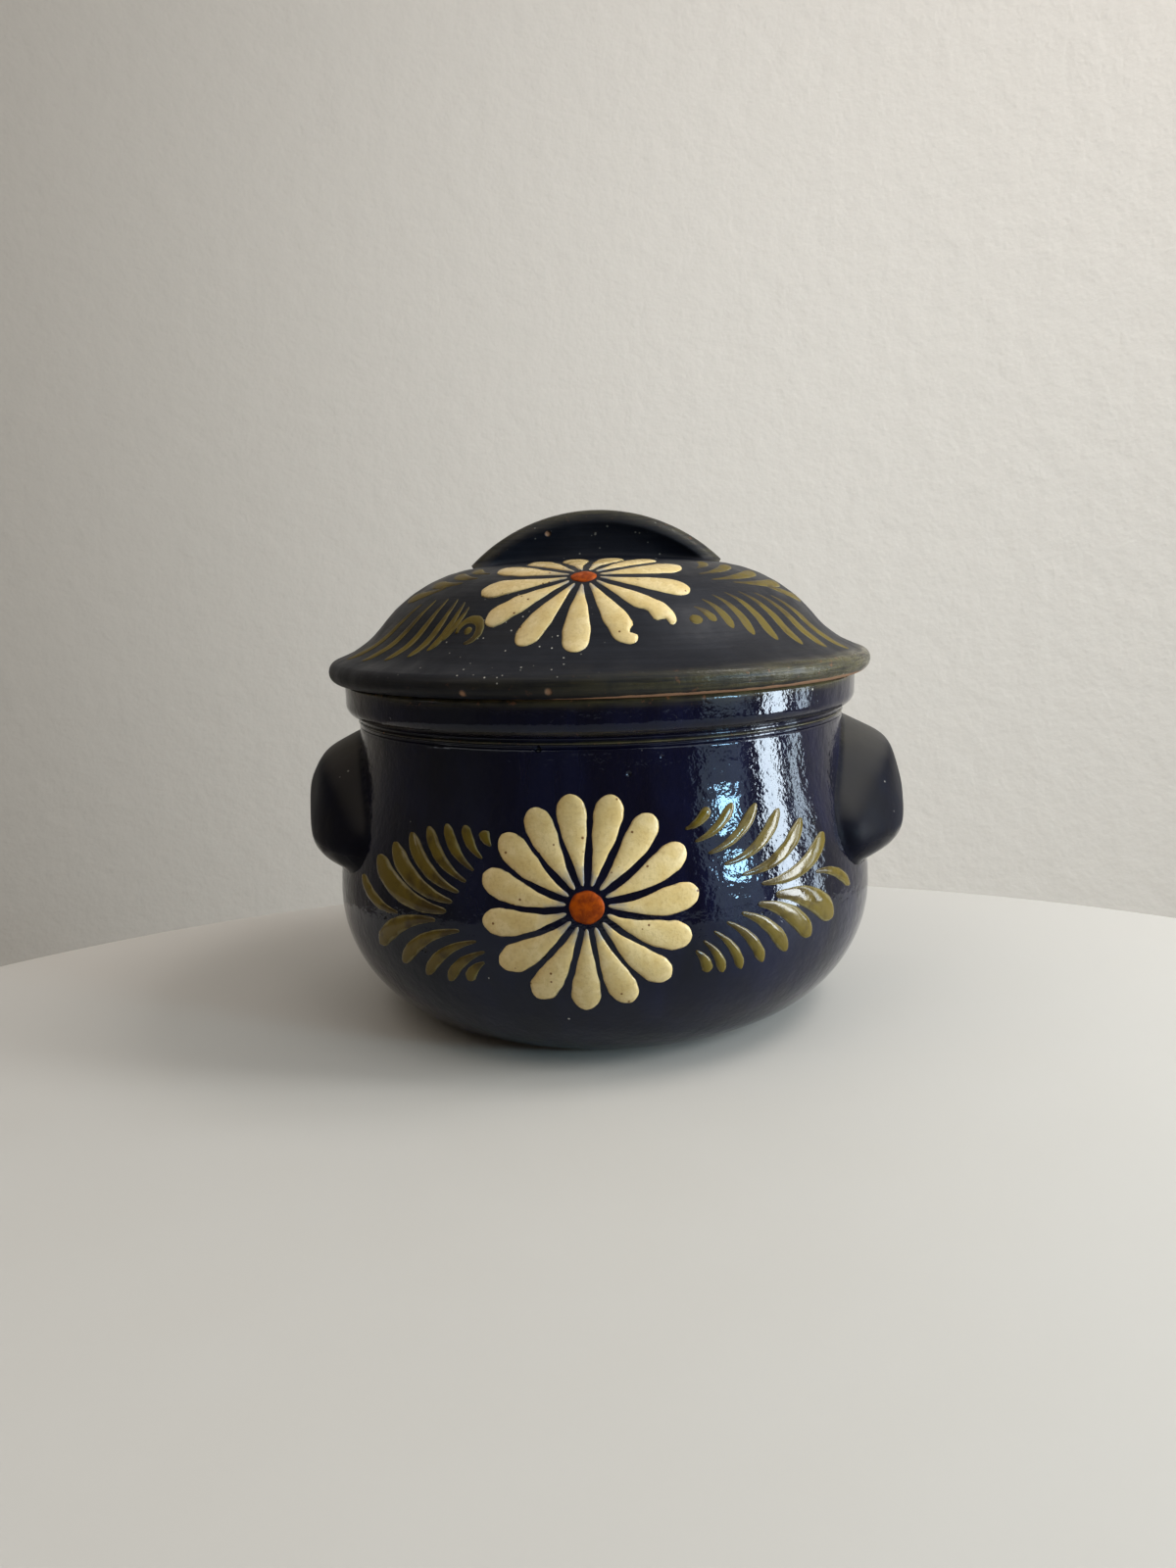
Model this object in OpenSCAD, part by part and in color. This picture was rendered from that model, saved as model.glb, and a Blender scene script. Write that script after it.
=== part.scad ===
// Lidded pot: a thrown, dark glazed earthenware bean pot with two luted lugs, a domed lid with a
// crescent grip, and raised slip flowers and leaves on the front and on the back.
// Millimetres, +Z up, origin at the middle of the foot. The front faces -Y, the lugs are on X.

/* [Pot] */
// Height of the pot at its rim
pot_h = 130.5; // [126:0.5:140]
// Diameter of the foot
foot_d = 143; // [132:1:154]
// Height of the widest point
belly_z = 47.5; // [42:0.5:54]
// Diameter of the neck
neck_d = 191; // [180:1:202]
// How far the belly swells out beyond the neck
belly_swell = 11; // [7:0.5:16]
// Height of the upright neck below the collar
neck_h = 5.5; // [5.5:0.5:13]
// Thickness of the wall
wall = 6; // [4:0.5:8]
// Thickness of the floor
floor_t = 7; // [5:0.5:10]
// Depth of the hollow under the foot
foot_hollow = 1.5; // [0.5:0.25:3]
// Width of the ring that the foot rests on
foot_ring_w = 12; // [8:1:20]

/* [Collar] */
// How far the collar stands out from the neck
collar_out = 4.75; // [3:0.25:7.5]
// Height of the collar
collar_h = 13; // [10:0.5:14]
// Rounding of the collar's lower edge
collar_round = 5; // [3:0.5:7]
// Rounding of the rim's two edges
rim_round = 2; // [1:0.25:3]
// Radius of the turned grooves under the collar
groove_r = 0.8; // [0.4:0.1:1.2]
// Distance between the turned grooves
groove_pitch = 2.2; // [1.8:0.1:2.6]

/* [Lugs] */
// Reach of the left lug beyond the belly
left_out = 11.5; // [8:0.5:17]
// Reach of the right lug beyond the belly
right_out = 14.5; // [8:0.5:17]
// Width of a lug along the wall
lug_w = 115; // [100:1:124]
// Depth of a lug's brow below the collar
lug_drop = 14; // [12:0.5:20]
// Height from the middle of the rounded lower lip to the brow
lug_h = 32; // [26:0.5:35]
// Rounding of the brow
lug_brow_r = 7.5; // [5:0.5:9]
// Rounding of the lower lip
lug_lip_r = 9.5; // [6:0.5:10]
// Rounding of the bulging cheek
lug_cheek_r = 13.5; // [11:0.5:16]
// How far the brow lies behind the cheek's outermost point
lug_brow_back = 5.5; // [3:0.5:8]
// How far the lip lies behind the cheek's outermost point
lug_lip_back = 1; // [0:0.5:4]
// Rise of the brow towards the wall
lug_slope = 14; // [8:1:18]
// Radius of the lip's sweep, seen from above
lug_sweep_r = 71; // [66:1:78]

/* [Lid] */
// How far the lid's lip stands out beyond the collar
lid_over = 5.75; // [4:0.25:10]
// Height of the lid's crown above the rim
lid_rise = 44; // [41:0.5:47]
// Radius of the nearly flat crown
crown_r = 530; // [400:10:800]
// Radius of the shoulder's arc
shoulder_r = 56.5; // [52:0.5:60]
// Distance of the shoulder arc's centre from the axis
shoulder_x = 40.5; // [38:0.5:43]
// Radius of the hollow sweep from the shoulder to the lip
flare_r = 39; // [34:0.5:46]
// Radius of the lid's rounded lip
lip_r = 4.3; // [3.5:0.1:5]
// Thickness of the lid's wall
lid_wall = 6; // [4:0.5:8]
// Depth of the locating flange below the rim
flange_depth = 12; // [6:0.5:16]
// Thickness of the locating flange
flange_wall = 5; // [4:0.5:7]
// Gap between the locating flange and the pot's mouth
flange_clear = 1.5; // [0.5:0.25:3]

/* [Grip] */
// Height of the grip above the crown
grip_h = 19; // [15:0.5:24]
// Radius of the grip's arched back
grip_arc_r = 70; // [60:1:85]
// Half of the grip's thickness at its rounded back
grip_back_r = 6; // [5:0.5:8]
// Radius of the finger scoops in the grip's two faces
scoop_r = 13; // [10:0.5:18]
// Depth of the finger scoops
scoop_depth = 2.5; // [1:0.25:3.5]

/* [Slip decoration] */
// Thickness of the raised slip
slip_t = 0.6; // [0.4:0.1:1]
// Film between a luted or painted piece and the clay under it
film_t = 0.05; // [0.02:0.01:0.1]
// Diameter of the flower on the pot
flower_d = 73; // [60:1:76]
// Number of petals of the flower on the pot
petal_count = 15; // [11:1:16]
// Diameter of the flower on the lid
lid_flower_d = 74; // [66:1:80]
// Number of petals of the flower on the lid
lid_petal_count = 13; // [9:1:14]
// Diameter of the pot flower's centre
centre_d = 11.5; // [8:0.5:13]
// Diameter of the lid flower's centre
lid_centre_d = 9; // [7:0.5:11]
// Width of a petal
petal_w = 9.8; // [7:0.1:10.4]
// Height of the pot flower's centre above the table
flower_z = 63; // [58:0.5:68]
// Distance of the lid flower's centre from the axis
lid_flower_r = 62.5; // [60:0.5:66]
// Width of the slimmest leaf strokes
leaf_w = 3; // [2:0.1:3.2]

/* [Hidden] */
$fn = 96;

// Colours of the glaze, the lid's drier glaze and the three slips
glaze = "#16183a";
lid_glaze = "#262a3a";
cream_slip = "#dec48c";
orange_slip = "#a54b19";
green_slip = "#645f2d";

// The overlap that lets a cut run clear of the face it opens
over = 1;

// Arcs of the pot's half section: the lower belly, then two equal arcs that sway in to the neck
foot_r = foot_d / 2;
neck_r = neck_d / 2;
belly_r = neck_r + belly_swell;
collar_r = neck_r + collar_out;
collar_z = pot_h - collar_h;
neck_z = collar_z - neck_h;
throat_r = neck_r - wall;
foot_in = belly_r - foot_r;
low_r = (foot_in ^ 2 + belly_z ^ 2) / (2 * foot_in);
low_x = belly_r - low_r;
neck_up = neck_z - belly_z;
sway_r = (belly_swell ^ 2 + neck_up ^ 2) / (4 * belly_swell);
sway_rise = neck_up / (2 * sway_r);

// Arcs of the lid's half section: crown, shoulder, flare and lip
lid_r = collar_r + lid_over;
crown_z = pot_h + lid_rise;
crown_c = [0, crown_z - crown_r];
shoulder_c = [shoulder_x, crown_c[1] + sqrt((crown_r - shoulder_r) ^ 2 - shoulder_x ^ 2)];
lip_c = [lid_r - lip_r, pot_h + lip_r];
flare_c = upper_meet(shoulder_c, lip_c, shoulder_r + flare_r, flare_r + lip_r);
crown_turn = unit(shoulder_c - crown_c);
shoulder_turn = unit(flare_c - shoulder_c);
lip_turn = unit(flare_c - lip_c);
flange_r = throat_r - flange_clear;
hollow_r = flange_r - flange_wall;
grip_z = crown_z + grip_h - grip_arc_r;

// Lugs: the arch that the brow follows, and where its three rounded parts lie
lug_top_z = collar_z - lug_drop;
lug_lip_z = lug_top_z - lug_h;
arch_r = lug_w / 2 - lug_brow_r;
arch_z = lug_top_z - lug_w / 2;
brow_sweep_r = lug_sweep_r - lug_brow_r;
brow_root = 28;
left_cheek = 0.4375;
right_cheek = 0.25;
lip_sweep_r = lug_sweep_r - lug_lip_r;
left_cheek_z = lug_lip_z + left_cheek * lug_h;
right_cheek_z = lug_lip_z + right_cheek * lug_h;
arch_angles = [25 : 13 : 155];
lip_angles = [-50 : 12.5 : 50];

// Brush strokes: the steps of their outline, and for petals and leaves where a stroke is widest, how broad
// its root is and how it swells
stroke_steps = [0, 0.27, 0.54, 0.8, 0.91, 0.97, 1];
petal_form = [0.8, 0.16, 1.7];
leaf_form = [0.66, 0.4, 1.1];
petal_bow = 0.04;
petal_sways = [8, 2];
lid_petal_sways = [9, 9];
leaf_bow = 0.1;
petal_gap = 1.2;
flower_turn = -92;
flower_s = -6;
lid_flower_az = -4;

// Leaf rows on the pot: their side, the number of strokes, then widths, roots and tips along three curves,
// each with a start, a pull and an end. Widths as shares of the slimmest, across as shares of the bare wall
// between flower and lug, and up from the flower's middle as shares of its radius.
pot_rows = [
    [-1, 7, [1.2, 1, 2.6],
        [[-0.03, 0.51], [0.11, 0.16], [0.22, -0.11]],
        [[0.02, 0.64], [0.38, 0.8], [0.81, 0.26]]],
    [-1, 5, [1.2, 1, 2],
        [[-0.01, -0.55], [-0.08, -0.33], [0.29, -0.21]],
        [[0.1, -0.76], [0.34, -0.89], [0.78, -0.61]]],
    [1, 6, [1.1, 1.1, 1.8],
        [[-0.01, 0.63], [0.08, 0.34], [0.34, 0.07]],
        [[0.11, 0.8], [0.42, 0.9], [0.81, 0.38]]],
    [1, 7, [1.2, 0.5, 2.8],
        [[-0.01, -0.45], [0.08, -0.19], [0.41, -0.06]],
        [[0.05, -0.67], [0.23, -0.78], [0.8, -0.44]]],
];

// The single strokes beside the lugs: their side, width, root and tip
pot_ends = [
    [-1, 1.6, [0.58, -0.22], [0.98, 0.02]],
    [1, 1.3, [0.69, 0.05], [0.99, -0.21]],
];
lug_edge = (90 - asin(lug_w / 2 / belly_r)) * PI / 180 * belly_r;

// Leaf rows on the lid: the same, in degrees round the axis, and up the slope as shares of the way from the
// flower's middle to the lip
lid_rows = [
    [7, [1, 1.2, 1.6],
        [[24, -0.46], [33, -0.18], [54, -0.37]],
        [[28, -0.62], [38, -0.8], [64, -1.08]]],
    [5, [1, 1.2, 1.4],
        [[38, 0.11], [25, -0.09], [56, -0.16]],
        [[52, 0.32], [75, 0.16], [76, -0.41]]],
    [6, [1.2, 1.2, 1.6],
        [[-35, -0.39], [-41, -0.21], [-57, -0.34]],
        [[-38, -0.71], [-40, -1.01], [-71, -1.03]]],
    [4, [1, 1.2, 1.4],
        [[-42, 0.14], [-44, 0], [-54, -0.11]],
        [[-58, 0.25], [-64, 0.11], [-72, -0.28]]],
];
lid_slope = lid_r - lid_flower_r;

// A dot that ends the right spray on the lid, and a curl round a dot that ends the left one
lid_dot = [23.2, -0.59];
lid_curl = [-31.3, -0.63];
dot_d = 4;
curl_d = 10.2;
curl_w = 2.4;
curl_dot_d = 2.4;
curl_from = -80;
curl_to = 190;
ring_step = 15;

// Seen from above, the lid's decoration is shorter where the slope is steeper
lid_lay = 0.95;
lid_fade = 0.235;
lid_steep = 0.805;

function unit(v) = v / norm(v);

// Upper one of the two points that lie ra from a and rb from b
function upper_meet(a, b, ra, rb) =
    let (
        d = norm(b - a),
        u = (b - a) / d,
        along = (ra ^ 2 - rb ^ 2 + d ^ 2) / (2 * d),
        up = sqrt(ra ^ 2 - along ^ 2)
    )
    a + u * along + [-u[1], u[0]] * up;

// Point on a curve with a start, a pull and an end
function on_curve(curve, t) = curve[0] * (1 - t) ^ 2 + curve[1] * 2 * t * (1 - t) + curve[2] * t ^ 2;

// Half width of a brush stroke at t, as a share: a root, a belly and a round tip
function stroke_share(form, t) =
    t < form[0]
        ? form[1] + (1 - form[1]) * sin(90 * t / form[0]) ^ form[2]
        : sqrt(max(0, 1 - ((t - form[0]) / (1 - form[0])) ^ 2));

function reversed(list) = [for (i = [len(list) - 1 : -1 : 0]) list[i]];

// Outline of one brush stroke from its root to its tip, bowed to its left
function stroke(form, root, tip, width, bow) =
    let (
        run = tip - root,
        side = [-run[1], run[0]] / norm(run),
        last = len(stroke_steps) - 1,
        middle = [for (t = stroke_steps) root + run * t + side * norm(run) * bow * 4 * t * (1 - t)],
        reach = [for (t = stroke_steps) side * stroke_share(form, t) * width / 2],
        right = [for (i = [0 : last - 1]) middle[i] - reach[i]]
    )
    concat([for (i = [0 : last]) middle[i] + reach[i]], reversed(right));

// Outline of petal i of a flower round the origin. The tips sway upwards, by the first angle on the left and
// by the second on the right.
function petal(i, count, diameter, centre, sways) =
    let (
        turn = flower_turn + i * 360 / count,
        tip_turn = turn + sways[cos(turn) < 0 ? 0 : 1] * cos(turn),
        root = (centre / 2 + petal_gap) * [cos(turn), sin(turn)],
        tip = diameter / 2 * [cos(tip_turn), sin(tip_turn)]
    )
    stroke(petal_form, root, tip, petal_w, -petal_bow * cos(turn));

// Points on a circle between two angles, at a height up the slope
function arc(diameter, from, to, height) =
    [for (a = [from : ring_step : to]) diameter / 2 * [cos(a), sin(a)] + [0, height]];

function dot(diameter, height) = arc(diameter, 0, 360 - ring_step, height);

// A place on the lid: its degrees round the axis, the millimetres in a degree there, the height up the slope
function lid_place(p) =
    let (up = p[1] * lid_slope)
    [p[0], (lid_flower_r - up * lid_lay) * PI / 180, up];

// A place on the pot: its distance round the belly from the middle, and its height
function pot_place(side, p) =
    let (flower_edge = flower_d / 2 + side * flower_s)
    [side * (flower_edge + p[0] * (lug_edge - flower_edge)), flower_z + p[1] * flower_d / 2];

// Strokes that grow upwards bow one way, and strokes that hang down the other way
function leaf_lean(run) = leaf_bow * (run[0] * run[1] > 0 ? -1 : 1);

// Takes the square corner at p off a section and leaves it round. way points out of the section.
module round_corner(p, r, way) {
    translate([p[0] - way[0] * r, p[1] - way[1] * r])
        difference() {
            translate([way[0] < 0 ? -r - over : 0, way[1] < 0 ? -r - over : 0])
                square(r + over);
            circle(r);
        }
}

// Half section of the pot without its collar, with its surface moved out by grow
module pot_form(grow) {
    turn_z = belly_z + (sway_r + grow) * sway_rise;
    intersection() {
        square([belly_r + grow, belly_z]);
        union() {
            square([low_x, belly_z]);
            translate([low_x, belly_z])
                circle(low_r + grow);
        }
    }
    intersection() {
        translate([0, belly_z])
            square([belly_r + grow, turn_z - belly_z]);
        union() {
            translate([0, belly_z])
                square([max(belly_r - sway_r, over), turn_z - belly_z]);
            translate([belly_r - sway_r, belly_z])
                circle(sway_r + grow);
        }
    }
    difference() {
        translate([0, turn_z])
            square([belly_r, neck_z - turn_z]);
        translate([neck_r + sway_r, neck_z])
            circle(sway_r - grow);
    }
    translate([0, neck_z])
        square([neck_r + grow, pot_h - neck_z]);
}

module collar_form() {
    difference() {
        translate([0, collar_z])
            square([collar_r, collar_h]);
        round_corner([collar_r, collar_z], collar_round, [1, -1]);
        round_corner([collar_r, pot_h], rim_round, [1, 1]);
    }
}

module pot_cavity() {
    intersection() {
        translate([0, floor_t])
            square([belly_r, pot_h]);
        pot_form(-wall);
    }
    translate([0, neck_z])
        square([throat_r, pot_h - neck_z + over]);
    round_corner([throat_r, pot_h], rim_round, [-1, 1]);
}

// Half section of the lid's outside from base_z up, with its surface moved out by grow
module lid_form(grow, base_z) {
    crown_x = shoulder_c[0] + (shoulder_r + grow) * crown_turn[0];
    shoulder_end = shoulder_c[0] + (shoulder_r + grow) * shoulder_turn[0];
    lip_start = lip_c[0] + (lip_r + grow) * lip_turn[0];
    translate([0, base_z])
        square([lip_c[0], lip_c[1] + lip_r / 2 - base_z]);
    intersection() {
        translate([0, lip_c[1]])
            square([crown_x, lid_rise + grow]);
        translate(crown_c)
            circle(crown_r + grow, $fn = 720);
    }
    intersection() {
        translate([crown_x, lip_c[1]])
            square([shoulder_end - crown_x, lid_rise + grow]);
        translate(shoulder_c)
            circle(shoulder_r + grow);
    }
    difference() {
        translate([shoulder_end, lip_c[1]])
            square([lip_start - shoulder_end, flare_c[1] - lip_c[1]]);
        translate(flare_c)
            circle(flare_r - grow);
    }
    if (lip_r + grow > 0)
        translate(lip_c)
            circle(lip_r + grow);
}

module pot_body() {
    color(glaze)
        rotate_extrude()
            difference() {
                union() {
                    pot_form(0);
                    collar_form();
                }
                pot_cavity();
                for (row = [0, 1])
                    translate([neck_r, collar_z - groove_pitch * (row + 0.5)])
                        circle(groove_r, $fn = 24);
                translate([0, -over])
                    square([foot_r - foot_ring_w, foot_hollow + over]);
            }
}

// One lug on +X: an arched brow, a bulging cheek and a rounded lower lip, fitted to the wall
module lug(reach, cheek_z) {
    brow_x = reach - lug_brow_back - lug_brow_r;
    lip_x = reach - lug_lip_back - lug_sweep_r;
    color(glaze)
        difference() {
            hull() {
                for (a = arch_angles, root = [0, 1]) {
                    y = arch_r * cos(a);
                    z = arch_z + arch_r * sin(a) + root * lug_slope * sin(a);
                    x = brow_x - root * brow_root + sqrt(brow_sweep_r ^ 2 - y ^ 2) - brow_sweep_r;
                    translate([x, y, z])
                        sphere(lug_brow_r, $fn = 24);
                }
                for (a = lip_angles)
                    translate([lip_x + lip_sweep_r * cos(a), lip_sweep_r * sin(a), lug_lip_z])
                        sphere(lug_lip_r, $fn = 24);
                translate([reach - lug_cheek_r, 0, cheek_z])
                    sphere(lug_cheek_r, $fn = 24);
            }
            rotate_extrude()
                pot_form(film_t);
        }
}

module left_lug() {
    mirror([1, 0, 0])
        lug(belly_r + left_out, left_cheek_z);
}

module right_lug() {
    lug(belly_r + right_out, right_cheek_z);
}

module lid_shell() {
    flange_z = pot_h - flange_depth;
    color(lid_glaze)
        rotate_extrude()
            difference() {
                union() {
                    lid_form(0, pot_h);
                    difference() {
                        translate([0, flange_z])
                            square([flange_r, flange_depth]);
                        round_corner([flange_r, flange_z], rim_round, [1, -1]);
                    }
                }
                intersection() {
                    translate([0, flange_z - over])
                        square([hollow_r, crown_z - flange_z]);
                    lid_form(-lid_wall, flange_z - over);
                }
            }
}

// A crescent fin with a rounded back and a finger scoop in each face, standing on the crown
module lid_grip() {
    web_end = grip_arc_r - grip_back_r;
    web_start = web_end - grip_h;
    scoop_at = web_end - scoop_r / 2;
    color(lid_glaze)
        difference() {
            translate([0, 0, grip_z])
                rotate([90, 0, 0])
                    rotate_extrude()
                        difference() {
                            union() {
                                translate([web_end, 0])
                                    circle(grip_back_r);
                                translate([web_start, -grip_back_r])
                                    square([web_end - web_start, 2 * grip_back_r]);
                            }
                            for (side = [-1, 1])
                                translate([scoop_at, side * (grip_back_r + scoop_r - scoop_depth)])
                                    circle(scoop_r);
                        }
            rotate_extrude()
                lid_form(film_t, grip_z - grip_arc_r - over);
        }
}

// Stands an outline up on the front of the pot, at a distance s round the belly and a height z
module on_pot(s, z, outline) {
    rotate([0, 0, s / belly_r * 180 / PI])
        translate([0, 0, z])
            rotate([90, 0, 0])
                linear_extrude(belly_r + over)
                    polygon(outline);
}

// How long a height up the lid's slope is when seen from above
function seen_from_above(up) = up * max(lid_steep, lid_lay + lid_fade * up / lid_slope);

// Lays an outline on the front slope of the lid, at an angle round the axis
module on_lid(angle, outline) {
    rotate([0, 0, angle])
        translate([0, -lid_flower_r, lip_c[1]])
            linear_extrude(lid_rise)
                polygon([for (p = outline) [p[0], seen_from_above(p[1])]]);
}

// One leaf stroke on the pot
module pot_leaf(root, tip, width, lean) {
    middle = (root + tip) / 2;
    on_pot(middle[0], middle[1], stroke(leaf_form, root - middle, tip - middle, leaf_w * width, lean));
}

// The leaf strokes of one row on the pot
module pot_row(side, count, widths, roots, tips) {
    lean = leaf_lean(pot_place(side, tips[1]) - pot_place(side, roots[1]));
    for (i = [0 : count - 1]) {
        t = i / (count - 1);
        root = pot_place(side, on_curve(roots, t));
        pot_leaf(root, pot_place(side, on_curve(tips, t)), on_curve(widths, t), lean);
    }
}

// A single leaf stroke beside a lug
module pot_end(side, width, root, tip) {
    from = pot_place(side, root);
    to = pot_place(side, tip);
    pot_leaf(from, to, width, leaf_lean(to - from));
}

// The leaf strokes of one row on the lid
module lid_row(count, widths, roots, tips) {
    lean = leaf_lean(tips[1] - roots[1]);
    for (i = [0 : count - 1]) {
        t = i / (count - 1);
        root = lid_place(on_curve(roots, t));
        tip = lid_place(on_curve(tips, t));
        angle = (root[0] + tip[0]) / 2;
        from = [(root[0] - angle) * root[1], root[2]];
        to = [(tip[0] - angle) * tip[1], tip[2]];
        on_lid(angle, stroke(leaf_form, from, to, leaf_w * on_curve(widths, t), lean));
    }
}

// The dot and the curl on the lid
module lid_buds() {
    dot_up = lid_dot[1] * lid_slope;
    curl_up = lid_curl[1] * lid_slope;
    outer = arc(curl_d, curl_from, curl_to, curl_up);
    inner = arc(curl_d - 2 * curl_w, curl_from, curl_to, curl_up);
    on_lid(lid_dot[0], dot(dot_d, dot_up));
    on_lid(lid_curl[0], concat(outer, reversed(inner)));
    on_lid(lid_curl[0], dot(curl_dot_d, curl_up));
}

// The layer of slip on the pot, from the film to the slip's thickness
module pot_slip() {
    rotate_extrude()
        difference() {
            pot_form(slip_t);
            pot_form(film_t);
        }
}

// The layer of slip on the lid
module lid_slip() {
    rotate_extrude()
        difference() {
            lid_form(slip_t, pot_h);
            lid_form(film_t, pot_h - over);
        }
}

module pot_petals() {
    color(cream_slip)
        intersection() {
            pot_slip();
            for (i = [0 : petal_count - 1])
                on_pot(flower_s, flower_z, petal(i, petal_count, flower_d, centre_d, petal_sways));
        }
}

module pot_centre() {
    color(orange_slip)
        intersection() {
            pot_slip();
            on_pot(flower_s, flower_z, dot(centre_d, 0));
        }
}

module pot_leaves() {
    color(green_slip)
        intersection() {
            pot_slip();
            union() {
                for (row = pot_rows)
                    pot_row(row[0], row[1], row[2], row[3], row[4]);
                for (end = pot_ends)
                    pot_end(end[0], end[1], end[2], end[3]);
            }
        }
}

module lid_petals() {
    color(cream_slip)
        intersection() {
            lid_slip();
            for (i = [0 : lid_petal_count - 1])
                on_lid(
                    lid_flower_az,
                    petal(i, lid_petal_count, lid_flower_d, lid_centre_d, lid_petal_sways)
                );
        }
}

module lid_centre() {
    color(orange_slip)
        intersection() {
            lid_slip();
            on_lid(lid_flower_az, dot(lid_centre_d, 0));
        }
}

module lid_leaves() {
    color(green_slip)
        intersection() {
            lid_slip();
            union() {
                for (row = lid_rows)
                    lid_row(row[0], row[1], row[2], row[3]);
                lid_buds();
            }
        }
}

// The back repeats the front, half a turn round
module on_back() {
    rotate([0, 0, 180])
        children();
}

pot_body();
left_lug();
right_lug();
pot_petals();  // pot_front_petals
pot_centre();  // pot_front_centre
pot_leaves();  // pot_front_leaves
on_back() pot_petals();  // pot_back_petals
on_back() pot_centre();  // pot_back_centre
on_back() pot_leaves();  // pot_back_leaves
lid_shell();
lid_grip();
lid_petals();  // lid_front_petals
lid_centre();  // lid_front_centre
lid_leaves();  // lid_front_leaves
on_back() lid_petals();  // lid_back_petals
on_back() lid_centre();  // lid_back_centre
on_back() lid_leaves();  // lid_back_leaves
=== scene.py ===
"""Looks of the lidded pot: a thrown and glazed pot and lid, luted lugs and grip, raised slip strokes."""

import math
import random

import bmesh
import bpy
import numpy as np
from mathutils import Matrix, Vector, noise


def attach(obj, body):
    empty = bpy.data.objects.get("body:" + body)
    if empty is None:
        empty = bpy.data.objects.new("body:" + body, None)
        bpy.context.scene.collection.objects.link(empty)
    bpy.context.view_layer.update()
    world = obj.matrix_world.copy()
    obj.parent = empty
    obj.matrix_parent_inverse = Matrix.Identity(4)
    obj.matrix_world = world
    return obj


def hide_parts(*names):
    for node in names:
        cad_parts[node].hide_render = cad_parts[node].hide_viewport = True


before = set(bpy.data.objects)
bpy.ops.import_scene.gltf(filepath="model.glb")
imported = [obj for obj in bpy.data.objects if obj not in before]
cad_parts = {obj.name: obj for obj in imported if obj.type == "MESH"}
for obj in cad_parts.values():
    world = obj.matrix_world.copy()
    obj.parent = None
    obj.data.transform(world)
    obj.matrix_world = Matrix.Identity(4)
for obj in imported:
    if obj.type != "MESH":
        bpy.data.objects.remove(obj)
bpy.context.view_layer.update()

# All shapes are in millimetres until a mesh is made
MM = 0.001

# The pot's half section, with the same values as the solids
POT_H = 130.5
FOOT_R = 71.5
BELLY_R = 106.5
BELLY_Z = 47.5
NECK_R = 95.5
NECK_Z = 112.0
WALL = 6.0
FLOOR_T = 7.0
FOOT_HOLLOW = 1.5
FOOT_RING_W = 12.0
COLLAR_R = 100.25
COLLAR_Z = 117.5
COLLAR_ROUND = 5.0
RIM_ROUND = 2.0
GROOVE_R = 0.8
GROOVE_PITCH = 2.2
BEAD_PROUD = 0.35
EDGE_ROUND = 0.6
FOOT_IN = BELLY_R - FOOT_R
LOW_R = (FOOT_IN ** 2 + BELLY_Z ** 2) / (2 * FOOT_IN)
LOW_X = BELLY_R - LOW_R
NECK_IN = BELLY_R - NECK_R
NECK_UP = NECK_Z - BELLY_Z
SWAY_R = (NECK_IN ** 2 + NECK_UP ** 2) / (4 * NECK_IN)
SWAY_TURN = math.degrees(math.asin(NECK_UP / (2 * SWAY_R)))
TURN_Z = BELLY_Z + NECK_UP / 2
THROAT_R = NECK_R - WALL

# The lid's half section
LID_R = 106.0
LID_RISE = 44.0
CROWN_R = 530.0
SHOULDER_R = 56.5
SHOULDER_X = 40.5
FLARE_R = 39.0
LIP_R = 4.3
LID_WALL = 6.0
FLANGE_DEPTH = 12.0
FLANGE_R = THROAT_R - 1.5
HOLLOW_R = FLANGE_R - 5.0
CROWN_Z = POT_H + LID_RISE
CROWN_C = Vector((0, CROWN_Z - CROWN_R))
SHOULDER_C = Vector((SHOULDER_X, CROWN_C[1] + math.sqrt((CROWN_R - SHOULDER_R) ** 2 - SHOULDER_X ** 2)))
LIP_C = Vector((LID_R - LIP_R, POT_H + LIP_R))

# The grip on the lid
GRIP_H = 19.0
GRIP_ARC_R = 70.0
GRIP_BACK_R = 6.0
SCOOP_R = 13.0
SCOOP_DEPTH = 2.5
GRIP_Z = CROWN_Z + GRIP_H - GRIP_ARC_R
GRIP_FILLET = 2.5
GRIP_LEAN = 0.5
GRIP_SUNK = 0.4
GRIP_END_DIP = 1.2
GRIP_ROWS = 120
GRIP_COLUMNS = 44
GRIP_TRIES = 400
GRIP_TIP = 0.05

# The lugs
LUG_W = 115.0
LUG_TOP_Z = 103.5
LUG_LIP_Z = 71.5
LUG_BROW_R = 7.5
LUG_LIP_R = 9.5
LUG_CHEEK_R = 13.5
LUG_BROW_BACK = 5.5
LUG_LIP_BACK = 1.0
LUG_SLOPE = 14.0
LUG_SWEEP_R = 71.0
LUG_ROOT = 28.0
LUG_BROW_TURNS = range(25, 156, 10)
LUG_LIP_TURNS = range(-50, 51, 10)
LUG_VOXEL = 1.0
LUG_SMOOTHING = 120
LUG_SOFTNESS = 0.5
LUG_SWELL = 1.5
LUG_SUNK = 2.0
LUG_FILLET = 1.6
# Each lug's node, side, reach and height of the cheek
LUGS = (("left_lug", -1, 118.0, 85.5), ("right_lug", 1, 121.0, 79.5))

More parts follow.
